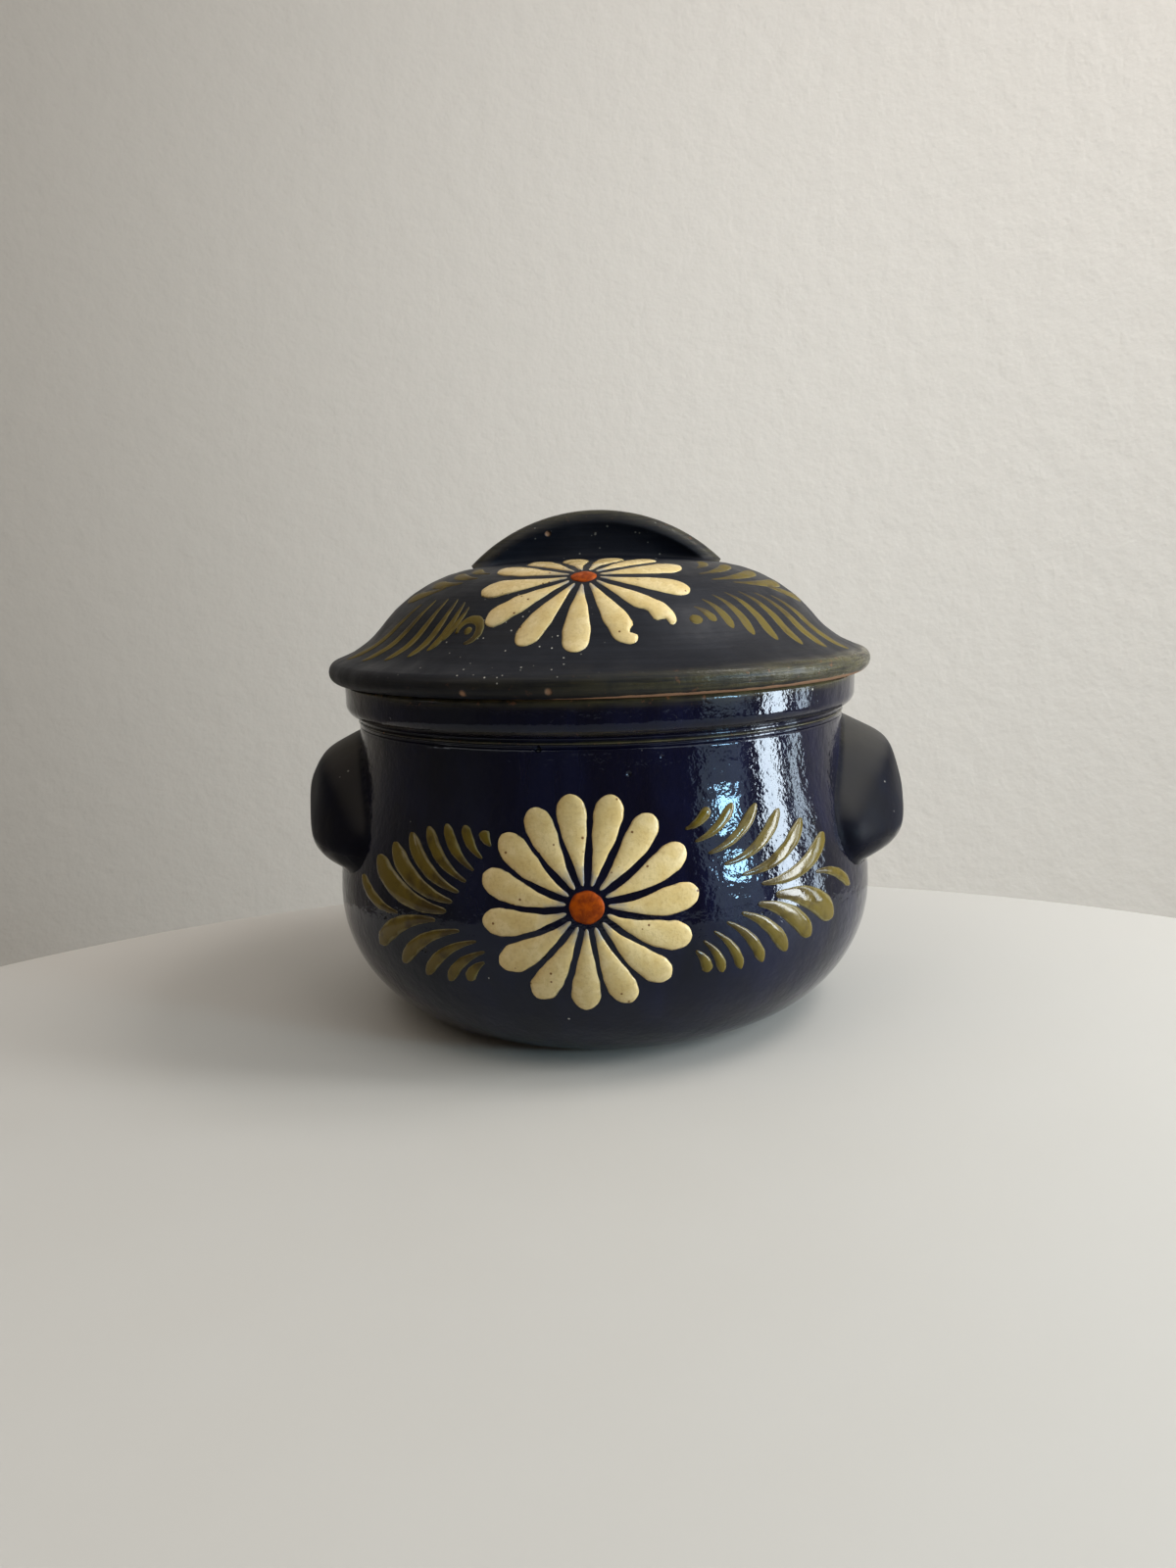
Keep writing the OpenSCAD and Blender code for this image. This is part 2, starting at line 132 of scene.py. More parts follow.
# Brush strokes: where petals and leaves are widest, how broad their roots are and how they swell
PETAL_FORM = (0.8, 0.16, 1.7)
LEAF_FORM = (0.8, 0.25, 1.2)
ROOT_ROUND = 0.05
PETAL_BOW = 0.065
PETAL_W = 10.5
PETAL_GAP = 1.2
PETAL_VARY = 0.03
LEAF_BOW = 0.1
LEAF_W = 3.0
POT_LEAF_SPREAD = 1.2
LID_LEAF_SPREAD = 1.5
FLOWER_TURN = -92.0
FLOWER_S = -6.0
FLOWER_Z = 63.0
FLOWER_D = 73.0
PETAL_COUNT = 15
PETAL_SWAYS = (8.0, 2.0)
CENTRE_D = 11.5
LID_FLOWER_AZ = -4.0
LID_FLOWER_R = 62.5
LID_FLOWER_D = 74.0
LID_PETAL_COUNT = 13
LID_PETAL_SWAYS = (9.0, 9.0)
LID_CENTRE_D = 9.0
POT_FLOWER = (PETAL_COUNT, FLOWER_D, CENTRE_D, PETAL_SWAYS)
LID_FLOWER = (LID_PETAL_COUNT, LID_FLOWER_D, LID_CENTRE_D, LID_PETAL_SWAYS)
LID_LAY = 0.95
LID_FADE = 0.235
LID_STEEP = 0.805
PETAL_PROUD = 0.75
LEAF_PROUD = 0.7
LID_LEAF_PROUD = 0.32
CENTRE_PROUD = 0.9
STROKE_SUNK = 0.15
STROKE_ROOTED = 0.4
STROKE_COLUMNS = 11
# How much and how fast a stroke's width wavers, how high its ends are, how flat and round its back is
WAVER = 0.10
WAVER_STEP = 0.35
WAVER_SEEDS = 50
END_HEIGHT = 0.45
BACK_FLAT = 2.6
BACK_ROUND = 0.75
STROKE_ROWS = 32
STROKE_ENDS = (0.07, 0.06)
DOT_ROWS = 18
DOT_END = 0.05
CURL_ROWS = 40
CURL_END = 0.25
CURL_SWELL = 0.8
# Seeds of the strokes on either side
FRONT_SEED = 11
BACK_SEED = 47

# Leaf rows: the number of strokes, then their widths, roots and tips along curves with a start, a pull
# and an end. Widths are multiples of LEAF_W. On the pot a row starts with its side, counts across as
# shares of the wall between flower and lug, and up as shares of the flower's radius.
POT_ROWS = [
    (-1, 7, (1.2, 1, 2.6),
     ((-0.03, 0.51), (0.11, 0.16), (0.22, -0.11)),
     ((0.02, 0.64), (0.38, 0.8), (0.81, 0.26))),
    (-1, 5, (1.2, 1, 2),
     ((-0.01, -0.55), (-0.08, -0.33), (0.29, -0.21)),
     ((0.1, -0.76), (0.34, -0.89), (0.78, -0.61))),
    (1, 6, (1.1, 1.1, 1.8),
     ((-0.01, 0.63), (0.08, 0.34), (0.34, 0.07)),
     ((0.11, 0.8), (0.42, 0.9), (0.81, 0.38))),
    (1, 7, (1.2, 0.5, 2.8),
     ((-0.01, -0.45), (0.08, -0.19), (0.41, -0.06)),
     ((0.05, -0.67), (0.23, -0.78), (0.8, -0.44))),
]
# The single strokes beside the lugs: their side, width, root and tip
POT_ENDS = [
    (-1, 1.6, (0.58, -0.22), (0.98, 0.02)),
    (1, 1.3, (0.69, 0.05), (0.99, -0.21)),
]
LUG_EDGE = math.acos(LUG_W / 2 / BELLY_R) * BELLY_R
# On the lid a row counts degrees round the axis, and up as shares of the way from the flower to the lip
LID_ROWS = [
    (7, (1, 1.2, 1.6),
     ((24, -0.46), (33, -0.18), (54, -0.37)),
     ((28, -0.62), (38, -0.8), (64, -1.08))),
    (5, (1, 1.2, 1.4),
     ((38, 0.11), (25, -0.09), (56, -0.16)),
     ((52, 0.32), (75, 0.16), (76, -0.41))),
    (6, (0.7, 0.8, 1.1),
     ((-35, -0.39), (-41, -0.21), (-57, -0.34)),
     ((-38, -0.71), (-40, -1.01), (-71, -1.03))),
    (4, (1, 1.2, 1.4),
     ((-42, 0.14), (-44, 0), (-54, -0.11)),
     ((-58, 0.25), (-64, 0.11), (-72, -0.28))),
]
LID_SLOPE = LID_R - LID_FLOWER_R
LID_DOT = (23.2, -0.59)
LID_CURL = (-31.3, -0.63)
DOT_D = 5.2
CURL_D = 9.2
CURL_W = 3.8
CURL_DOT_D = 3.0
CURL_FROM = -80.0
CURL_TO = 190.0
# Torn tips of two petals on the front of the lid: the petal, and bites along it, on a side, deep and long
TORN = {
    1: [(0.86, 1, 0.75, 0.05)],
    2: [(0.70, -1, 0.45, 0.08), (0.90, -1, 0.65, 0.05)],
}

# How far throwing strays: to an oval, to three sides and in rings
POT_STRAYS = (0.22, 0.14, 0.03)
LID_STRAYS = (0.2, 0.12, 0.05)
LIP_STRAY = 0.2

# Fineness of the meshes
SPIN = 300
FINE_STEP = 1.4
ARC_STEP = 6.0
COARSE_STEP = 4.0

# Marks of firing and use, in metres: pits in the pot's glaze, which hold painted shade and a painted
# glint, chips in the lid's, dust on the lid's front and scuffs on its grip
PITS = ((0.0201, -0.0944, 0.1100), (0.0295, -0.0920, 0.1092), (0.0090, -0.0962, 0.1050))
PIT_R = 0.0014
# Share of each pit's radius that holds its painted glint
PIT_CORE = 0.6
CHIPS = ((-0.0439, -0.0954, 0.1328), (-0.0183, -0.0058, 0.1845), (-0.0160, -0.1040, 0.1335))
CHIP_R = 0.0016
DUSTY = (-0.034, -0.089, 0.140)
DUSTY_R = 0.042
SCUFFED = (0.0, -0.007, 0.182)
SCUFFED_R = 0.055

# Colours, linear
NAVY = (0.0022, 0.0020, 0.0078, 1)
NAVY_LIGHT = (0.0040, 0.0046, 0.0180, 1)
BLACK = (0.0018, 0.0016, 0.0028, 1)
OLIVE = (0.080, 0.068, 0.030, 1)
RUST = (0.20, 0.080, 0.038, 1)
CLAY = (0.24, 0.135, 0.080, 1)
SLATE = (0.0034, 0.0043, 0.0078, 1)
SLATE_LIGHT = (0.0074, 0.0086, 0.0132, 1)
DUST = (0.42, 0.40, 0.36, 1)
SCUFF = (0.10, 0.095, 0.085, 1)
UMBER = (0.0040, 0.0038, 0.0056, 1)
UMBER_LIGHT = (0.0042, 0.0048, 0.0098, 1)
# A painted glint in the core of each pit
PIT_GLINT = (0.62, 0.62, 0.60, 1)
# Dust, and a painted sheen of the light from above, on the lugs' up-facing brows
BROW_DUST_AND_SHEEN = (0.058, 0.053, 0.048, 1)
CREAM = (0.52, 0.375, 0.155, 1)
CREAM_PALE = (0.60, 0.465, 0.235, 1)
CREAM_GRAIN = (0.36, 0.25, 0.10, 1)
CREAM_EDGE = (0.30, 0.24, 0.14, 1)
CREAM_BLEED = (0.11, 0.12, 0.15, 1)
BROWN_SPECK = (0.16, 0.075, 0.025, 1)
ORANGE = (0.33, 0.056, 0.001, 1)
ORANGE_DARK = (0.18, 0.026, 0.001, 1)
LEAF = (0.095, 0.066, 0.0075, 1)
LEAF_DARK = (0.040, 0.026, 0.005, 1)
LEAF_EDGE = (0.135, 0.108, 0.042, 1)
TABLE_WHITE = (0.46, 0.44, 0.41, 1)
WALL_WHITE = (0.66, 0.63, 0.59, 1)
# Painted shade on the wall at the left and at the front of the room
WALL_DIM = (0.14, 0.116, 0.090, 1)
TONE = (0.5, 0.5, 0.5, 1)
# How strongly the pot, the lugs worn by hands, the dusty lid, the slips and the table mirror the room
POT_SHEEN = 0.31
LUG_SHEEN = 0.03
LID_SHEEN = 0.14
SLIP_SHEEN = 0.25
ORANGE_SHEEN = 0.1
TABLE_SHEEN = 0.3
# Roughness of the leaves, from their smoothest to their driest places, and of the wall
POT_LEAF_ROUGH = (0.08, 0.2)
LID_LEAF_ROUGH = (0.4, 0.55)
WALL_ROUGH = 0.8
# What the cobalt glaze mirrors is tinted blue
COBALT_TINT = (0.74, 0.85, 1.0, 1)


def smooth_step(low, high, value):
    share = np.clip((value - low) / (high - low), 0, 1)
    return share * share * (3 - 2 * share)


def bump_at(value, middle, width):
    """One at the middle, falling to nothing at about twice the width."""
    return np.exp(-((value - middle) / width) ** 2)


def half_chord(radius, off):
    """Half the length of a circle's chord that lies off its middle."""
    return np.sqrt(np.maximum(radius ** 2 - off ** 2, 0))


def upper_meet(a, b, ra, rb):
    """Upper one of the two points that lie ra from a and rb from b."""
    gap = (b - a).length
    along = (ra ** 2 - rb ** 2 + gap ** 2) / (2 * gap)
    up = math.sqrt(ra ** 2 - along ** 2)
    u = (b - a) / gap
    return a + u * along + Vector((-u[1], u[0])) * up


FLARE_C = upper_meet(SHOULDER_C, LIP_C, SHOULDER_R + FLARE_R, FLARE_R + LIP_R)
CROWN_END = SHOULDER_C + (SHOULDER_C - CROWN_C).normalized() * SHOULDER_R
SHOULDER_END = SHOULDER_C + (FLARE_C - SHOULDER_C).normalized() * SHOULDER_R
LIP_START = LIP_C + (FLARE_C - LIP_C).normalized() * LIP_R


def arc(centre, radius, start, end, step=FINE_STEP):
    """Points on an arc of a half section, angles in degrees."""
    length = math.radians(abs(end - start)) * radius
    count = int(max(abs(end - start) / ARC_STEP, length / step, 2)) + 1
    angles = np.radians(np.linspace(start, end, count))
    return [(centre[0] + radius * math.cos(a), centre[1] + radius * math.sin(a)) for a in angles]


def angle_of(point, centre):
    return math.degrees(math.atan2(point[1] - centre[1], point[0] - centre[0]))


def filled(section, step):
    """The section with points added along its straight runs."""
    points = [section[0]]
    for a, b in zip(section, section[1:]):
        pieces = max(1, round(math.dist(a, b) / step))
        points += [tuple(np.add(a, np.subtract(b, a) * k / pieces)) for k in range(1, pieces + 1)]
    kept = [points[0]]
    for p in points[1:]:
        if math.dist(p, kept[-1]) > 1e-4:
            kept.append(p)
    return kept


def pot_radius(z):
    """Radius of the pot's outside at a height, without its collar."""
    z = np.asarray(z, float)
    low = LOW_X + half_chord(LOW_R, z - BELLY_Z)
    out = BELLY_R - SWAY_R + half_chord(SWAY_R, z - BELLY_Z)
    back = NECK_R + SWAY_R - half_chord(SWAY_R, z - NECK_Z)
    upper = np.where(z < TURN_Z, out, np.where(z < NECK_Z, back, NECK_R))
    return np.where(z < BELLY_Z, low, upper)


def lid_height(r):
    """Height of the lid's outside at a distance from the axis, as far as its flare."""
    r = np.asarray(r, float)
    crown = CROWN_C[1] + half_chord(CROWN_R, r)
    shoulder = SHOULDER_C[1] + half_chord(SHOULDER_R, r - SHOULDER_X)
    flare = FLARE_C[1] - half_chord(FLARE_R, r - FLARE_C[0])
    return np.where(r < CROWN_END[0], crown, np.where(r < SHOULDER_END[0], shoulder, flare))


def pot_thrown(angle, z):
    """How far the hand-thrown wall strays from a true circle."""
    oval, three, ring = POT_STRAYS
    rings = ring * np.sin(z * 1.05 + 0.8 * np.sin(angle)) * smooth_step(20, 50, z)
    return oval * np.sin(2 * angle + 0.02 * z + 0.6) + three * np.sin(3 * angle - 0.03 * z) + rings


def lid_thrown(angle, r):
    """How far the hand-thrown lid strays up or down."""
    oval, three, ring = LID_STRAYS
    rings = ring * np.sin(r * 0.9 + 0.7 * np.sin(angle))
    return (oval * np.sin(2 * angle + 1.1) + three * np.sin(3 * angle)) * r / LID_R + rings


def spot(angle, r, z):
    """Points at an angle from the front to the right, a radius and a height."""
    return np.stack([r * np.sin(angle), -r * np.cos(angle), z + 0 * angle], axis=-1)


def placed(name, data):
    """A new object in the scene."""
    obj = bpy.data.objects.new(name, data)
    bpy.context.scene.collection.objects.link(obj)
    return obj


def store(mesh, values):
    """Keeps named values on the points of a mesh, for its material."""
    for key, column in values.items():
        layer = mesh.attributes.new(key, "FLOAT", "POINT")
        layer.data.foreach_set("value", np.asarray(column, float))


def make(name, points, faces, values):
    """A smooth mesh object from points in millimetres, with named values per point."""
    mesh = bpy.data.meshes.new(name)
    mesh.from_pydata([tuple(p) for p in np.asarray(points) * MM], [], faces)
    store(mesh, values)
    bm = bmesh.new()
    bm.from_mesh(mesh)
    bmesh.ops.recalc_face_normals(bm, faces=bm.faces)
    bm.to_mesh(mesh)
    bm.free()
    mesh.shade_smooth()
    return placed(name, mesh)


def ring_faces(rows, wide, start=0):
    """Faces between the closed rings of a grid of points."""
    faces = []
    for i in range(rows - 1):
        ring = start + i * wide
        for j in range(wide):
            k = (j + 1) % wide
            faces.append((ring + j, ring + k, ring + wide + k, ring + wide + j))
    return faces


def tube_faces(rows, wide, start=0):
    """Faces of a tube of rings, with a cap at each end."""
    last = start + (rows - 1) * wide
    caps = [tuple(range(start, start + wide)), tuple(range(last, last + wide))]
    return ring_faces(rows, wide, start) + caps


def lathe(name, section, thrown, thin, bare):
    """A turned piece. The section starts and ends on the axis."""
    rings = np.array(section[1:-1])
    angle = np.linspace(0, 2 * math.pi, SPIN, endpoint=False)[None, :]
    r = np.repeat(rings[:, :1], SPIN, axis=1)
    z = np.repeat(rings[:, 1:], SPIN, axis=1)
    moved_r, moved_z = thrown(angle, r, z)
    points = spot(angle, moved_r, moved_z).reshape(-1, 3)
    poles = [(0, 0, section[0][1]), (0, 0, section[-1][1])]
    pole = len(points)
    last = pole - SPIN
    faces = ring_faces(len(rings), SPIN)
    for j in range(SPIN):
        k = (j + 1) % SPIN
        faces.append((j, pole, k))
        faces.append((last + k, pole + 1, last + j))
    values = {
        "thin": np.append(thin(angle, r, z).ravel(), [0, 0]),
        "bare": np.append(bare(angle, r, z).ravel(), [0, 0]),
    }
    return make(name, np.vstack([points, poles]), faces, values)


def pot_section():
    """The pot from the middle of its underside, up the outside, over the rim and down to its floor."""
    ring_in = FOOT_R - FOOT_RING_W
    under = [(0, FOOT_HOLLOW), (ring_in - EDGE_ROUND, FOOT_HOLLOW)]
    under += [(ring_in, 0), (FOOT_R - EDGE_ROUND, 0)]
    low_c = (LOW_X, BELLY_Z)
    low = arc(low_c, LOW_R, angle_of((FOOT_R, 0), low_c) + EDGE_ROUND, 0)
    out = arc((BELLY_R - SWAY_R, BELLY_Z), SWAY_R, 0, SWAY_TURN)
    back = arc((NECK_R + SWAY_R, NECK_Z), SWAY_R, 180 + SWAY_TURN, 180)
    grooves = []
    for row in (1, 0):
        middle = (NECK_R, COLLAR_Z - GROOVE_PITCH * (row + 0.5))
        grooves += arc(middle, GROOVE_R, 270, 90, COARSE_STEP)
        if row:
            grooves.append((NECK_R + BEAD_PROUD, COLLAR_Z - GROOVE_PITCH))
    collar = arc((COLLAR_R - COLLAR_ROUND, COLLAR_Z + COLLAR_ROUND), COLLAR_ROUND, -85, 0, 0.6)
    rim = arc((COLLAR_R - RIM_ROUND, POT_H - RIM_ROUND), RIM_ROUND, 0, 90, 0.3)
    rim += arc((THROAT_R + RIM_ROUND, POT_H - RIM_ROUND), RIM_ROUND, 90, 180, 0.3)
    throat = arc((NECK_R + SWAY_R, NECK_Z), SWAY_R + WALL, 180, 180 + SWAY_TURN, COARSE_STEP)
    inner = arc((BELLY_R - SWAY_R, BELLY_Z), SWAY_R - WALL, SWAY_TURN, 0, COARSE_STEP)
    floor_turn = math.degrees(math.asin((FLOOR_T - BELLY_Z) / (LOW_R - WALL)))
    inner += arc(low_c, LOW_R - WALL, 0, floor_turn, COARSE_STEP)
    outside = filled(low + out + back + grooves + collar + rim, FINE_STEP)
    return filled(under, COARSE_STEP) + outside + filled(throat + inner + [(0, FLOOR_T)], COARSE_STEP)


def pot_moved(angle, r, z):
    return r + pot_thrown(angle, z) * smooth_step(0, 8, z), z


def pot_thin(angle, r, z):
    """Where the pot's glaze runs thin: rim, collar's lower edge and the bead between the grooves."""
    outside = smooth_step(NECK_R - 2, NECK_R, r)
    rim = bump_at(z, POT_H, 2.2) * smooth_step(THROAT_R, THROAT_R + 6, r)
    collar = 0.3 * bump_at(z, COLLAR_Z + 1.2, 1.0) * outside
    bead = 0.9 * bump_at(z, COLLAR_Z - GROOVE_PITCH, 0.5) * outside
    return np.clip(rim + collar + bead, 0, 1)


def pot_bare(angle, r, z):
    """The foot's ring stands on bare clay."""
    return 1 - smooth_step(0.2, 1.6, z)


def lid_section():
    """The lid from the middle of its inside, down to the flange, out to the lip and up to the crown."""
    inside = arc(CROWN_C, CROWN_R - LID_WALL, 90, angle_of(CROWN_END, CROWN_C), COARSE_STEP)
    hollow_turn = math.degrees(math.acos((HOLLOW_R - SHOULDER_X) / (SHOULDER_R - LID_WALL)))
    crown_turn = angle_of(CROWN_END, SHOULDER_C)
    inside += arc(SHOULDER_C, SHOULDER_R - LID_WALL, crown_turn, hollow_turn, COARSE_STEP)
    flange_z = POT_H - FLANGE_DEPTH
    flange = [(HOLLOW_R, flange_z + EDGE_ROUND), (HOLLOW_R + EDGE_ROUND, flange_z)]
    flange += arc((FLANGE_R - RIM_ROUND, flange_z + RIM_ROUND), RIM_ROUND, -90, 0, 0.4)
    flange += [(FLANGE_R, POT_H - EDGE_ROUND), (FLANGE_R + EDGE_ROUND, POT_H)]
    lip = arc(LIP_C, LIP_R, -90, angle_of(LIP_START, LIP_C), 0.5)
    flare_turns = [angle_of(p, FLARE_C) % 360 for p in (LIP_START, SHOULDER_END)]
    flare = arc(FLARE_C, FLARE_R, *flare_turns)
    shoulder = arc(SHOULDER_C, SHOULDER_R, angle_of(SHOULDER_END, SHOULDER_C), crown_turn)
    crown = arc(CROWN_C, CROWN_R, angle_of(CROWN_END, CROWN_C), 90)
    outside = filled(flange[2:] + lip + flare + shoulder + crown, FINE_STEP)
    start = [(0, CROWN_Z - LID_WALL)] + inside[1:]
    return filled(start + flange[:2], COARSE_STEP) + outside


def lid_moved(angle, r, z):
    above = smooth_step(POT_H + 1, POT_H + 6, z)
    return r + LIP_STRAY * np.sin(2 * angle + 0.4) * above, z + lid_thrown(angle, r) * above


def lid_thin_lit_right(angle, r, z):
    """Thin glaze round the lid's rolled lip, strongest on the right as painted light and faint on the
    shaded left.
    """
    strength = 0.55 + 0.35 * np.sin(angle - 0.15)
    start = LID_R - 4.5 - 3.0 * np.sin(angle - 0.3)
    return strength * smooth_step(start, start + 6, r) * smooth_step(POT_H, POT_H + 2, z)


def lid_bare_lit_right(angle, r, z):
    """Bare clay on the flange, and under the lip at the right front; at the left the glaze stays dark as
    painted shade.
    """
    edge = POT_H - 0.7 + 2.0 * smooth_step(-0.9, 0.7, np.sin(angle)) + 0.15 * np.sin(9 * angle)
    return 1 - smooth_step(edge - 0.3, edge + 0.5, z)


def grip_half(depth):
    """Half of the grip's thickness at a depth below its back."""
    back = half_chord(GRIP_BACK_R, np.maximum(GRIP_BACK_R - depth, 0))
    scoop_at = GRIP_BACK_R + SCOOP_R / 2
    scoop = GRIP_BACK_R + SCOOP_R - SCOOP_DEPTH - half_chord(SCOOP_R, depth - scoop_at)
    return np.minimum(back, np.minimum(scoop, GRIP_BACK_R))


def grip_mesh(name):
    """The crescent grip: both faces run from its rounded back down into a fillet on the crown."""
    end = math.acos((CROWN_Z - GRIP_END_DIP - GRIP_Z) / GRIP_ARC_R)
    turn = np.linspace(-end, end, GRIP_ROWS)[:, None]
    depths = []
    for a in turn[:, 0]:
        tries = np.linspace(0, GRIP_H + 2, GRIP_TRIES)
        r = GRIP_ARC_R - tries
        over = GRIP_Z + r * math.cos(a) - lid_height(abs(r * math.sin(a)))
        depths.append(tries[np.argmax(over < -GRIP_SUNK)] if over[0] > 0 else GRIP_TIP)
    share = np.linspace(0, 1, GRIP_COLUMNS)[None, :]
    depth = np.array(depths)[:, None] * share ** 1.6
    r = GRIP_ARC_R - depth
    x = r * np.sin(turn)
    z = GRIP_Z + r * np.cos(turn)
    above = np.maximum(z - lid_height(np.abs(x)), 0)
    rise = np.clip(GRIP_FILLET - above, 0, GRIP_FILLET)
    flare = GRIP_FILLET - half_chord(GRIP_FILLET, rise)
    half = grip_half(depth) + np.minimum(flare, depth)
    lean = GRIP_LEAN * np.sin(2.1 * turn + 0.4) * np.clip(z - CROWN_Z, 0, None) / GRIP_H
    front = np.stack([x, lean - half, z], axis=-1)
    rear = np.stack([x, lean + half, z], axis=-1)
    ring = np.concatenate([front[:, ::-1], rear[:, 1:]], axis=1)
    deep = np.concatenate([depth[:, ::-1], depth[:, 1:]], axis=1)
    thin = 0.4 * bump_at(deep, 0.6, 2.6).ravel()
    faces = tube_faces(GRIP_ROWS, ring.shape[1])
    return make(name, ring.reshape(-1, 3), faces, {"thin": thin, "bare": 0 * thin})


def lug_balls(reach, cheek_z):
    """Balls whose hull is a lug on +X: an arched brow rooted in the wall, a cheek and a lower lip."""
    arch_r = LUG_W / 2 - LUG_BROW_R
    arch_z = LUG_TOP_Z - LUG_W / 2
    sweep_r = LUG_SWEEP_R - LUG_BROW_R
    for degrees in LUG_BROW_TURNS:
        a = math.radians(degrees)
        y = arch_r * math.cos(a)
        z = arch_z + arch_r * math.sin(a)
        x = reach - LUG_BROW_BACK - LUG_BROW_R + math.sqrt(sweep_r ** 2 - y ** 2) - sweep_r
        yield (x, y, z), LUG_BROW_R
        yield (x - LUG_ROOT, y, z + LUG_SLOPE * math.sin(a)), LUG_BROW_R
    lip_sweep_r = LUG_SWEEP_R - LUG_LIP_R
    for degrees in LUG_LIP_TURNS:
        a = math.radians(degrees)
        x = reach - LUG_LIP_BACK - LUG_SWEEP_R + lip_sweep_r * math.cos(a)
        yield (x, lip_sweep_r * math.sin(a), LUG_LIP_Z), LUG_LIP_R
    yield (reach - LUG_CHEEK_R, 0, cheek_z), LUG_CHEEK_R


def applied(obj):
    """The object's mesh with its modifiers, as a new mesh."""
    graph = bpy.context.evaluated_depsgraph_get()
    return bpy.data.meshes.new_from_object(obj.evaluated_get(graph))


def read(mesh, key):
    """A vector of every point of a mesh, such as its place."""
    values = np.empty(len(mesh.vertices) * 3)
    mesh.vertices.foreach_get(key, values)
    return values.reshape(-1, 3)


def lug_hull(name, side, reach, cheek_z):
    """The plain hull of a lug's balls."""
    bm = bmesh.new()
    for centre, radius in lug_balls(reach, cheek_z):
        place = Matrix.Translation(Vector((side * centre[0], centre[1], centre[2])) * MM)
        bmesh.ops.create_icosphere(bm, subdivisions=3, radius=(radius + LUG_SWELL) * MM, matrix=place)
    hull = bmesh.ops.convex_hull(bm, input=bm.verts[:])
    inner = hull["geom_interior"] + hull["geom_unused"]
    loose = {v for v in inner if isinstance(v, bmesh.types.BMVert)}
    bmesh.ops.delete(bm, geom=list(loose), context="VERTS")
    mesh = bpy.data.meshes.new(name + "_rough")
    bm.to_mesh(mesh)
    bm.free()
    return mesh


def lug_mesh(name, side, reach, cheek_z):
    """A smooth lug whose foot spreads into a small fillet on the wall."""
    rough = lug_hull(name, side, reach, cheek_z)
    obj = placed(name, rough)
    remesh = obj.modifiers.new("remesh", "REMESH")
    remesh.mode = "VOXEL"
    remesh.voxel_size = LUG_VOXEL * MM
    soften = obj.modifiers.new("soften", "SMOOTH")
    soften.factor = LUG_SOFTNESS
    soften.iterations = LUG_SMOOTHING
    mesh = applied(obj)
    obj.modifiers.clear()
    obj.data = mesh
    bpy.data.meshes.remove(rough)
    points = read(mesh, "co") / MM
    normals = read(mesh, "normal")
    spread = fitted_to_wall(points, normals)
    mesh.vertices.foreach_set("co", (spread * MM).ravel())
    mesh.update()
    mesh.shade_smooth()
    brow = bump_at(points[:, 2], LUG_TOP_Z + 2, 3.0) * 0.15
    lip = 1 - smooth_step(-0.35, 0.0, normals[:, 2])
    store(mesh, {"thin": brow, "bare": 0 * brow, "lip": lip})
    return obj


def fitted_to_wall(points, normals):
    """Lug points with those inside the wall pulled up under its surface, and a fillet where they meet."""
    angle = np.arctan2(points[:, 0], -points[:, 1])
    r = np.hypot(points[:, 0], points[:, 1])
    wall = pot_radius(points[:, 2]) + pot_thrown(angle, points[:, 2])
    gap = np.maximum(r - wall, -LUG_SUNK)
    out = np.stack([np.sin(angle), -np.cos(angle), 0 * angle], axis=-1)
    along = normals - out * np.sum(normals * out, axis=1, keepdims=True)
    along /= np.maximum(np.linalg.norm(along, axis=1, keepdims=True), 0.3)
    rise = np.clip(LUG_FILLET - gap, 0, LUG_FILLET)
    flare = LUG_FILLET - half_chord(LUG_FILLET, rise)
    base = spot(angle, wall + gap, points[:, 2])
    return base + along * flare[:, None]


def on_curve(curve, t):
    start, pull, end = (np.array(p, float) for p in curve)
    return start * (1 - t) ** 2 + pull * 2 * t * (1 - t) + end * t ** 2


def stroke_share(form, t):
    """Half width of a brush stroke as a share: a rounded root, a belly and a round tip."""
    belly, tail, taper = form
    swell = tail + (1 - tail) * np.sin(np.pi / 2 * np.clip(t / belly, 0, 1)) ** taper
    tip = half_chord(1, np.maximum(t - belly, 0) / (1 - belly))
    root = half_chord(1, np.clip(1 - t / ROOT_ROUND, 0, 1))
    return np.where(t < belly, swell, tip) * root


STROKE_T = (1 - np.cos(np.linspace(STROKE_ENDS[0], np.pi - STROKE_ENDS[1], STROKE_ROWS))) / 2


def pot_place(s, z):
    """Lays flat points round a place on the pot's wall, at a height over it."""
    def lay(flat, height):
        up = z + flat[..., 1]
        wall = pot_radius(up)
        slope = pot_radius(up + 0.5) - pot_radius(up - 0.5)
        length = np.sqrt(1 + slope ** 2)
        angle = s / BELLY_R + np.arcsin(flat[..., 0] / wall)
        r = wall + pot_thrown(angle, up) + height / length
        return spot(angle, r, up - height * slope / length)
    return lay


def lid_place(degrees):
    """Lays flat points on the lid's slope, at an angle round the axis and a height over it."""
    def lay(flat, height):
        v = flat[..., 1]
        x = flat[..., 0]
        y = LID_FLOWER_R - v * np.maximum(LID_STEEP, LID_LAY + LID_FADE * v / LID_SLOPE)
        r = np.hypot(x, y)
        slope = lid_height(r + 0.5) - lid_height(r - 0.5)
        length = np.sqrt(1 + slope ** 2)
        angle = math.radians(degrees) + np.arctan2(x, y)
        z = lid_height(r) + lid_thrown(angle, r) + height / length
        return spot(angle, r - height * slope / length, z)
    return lay


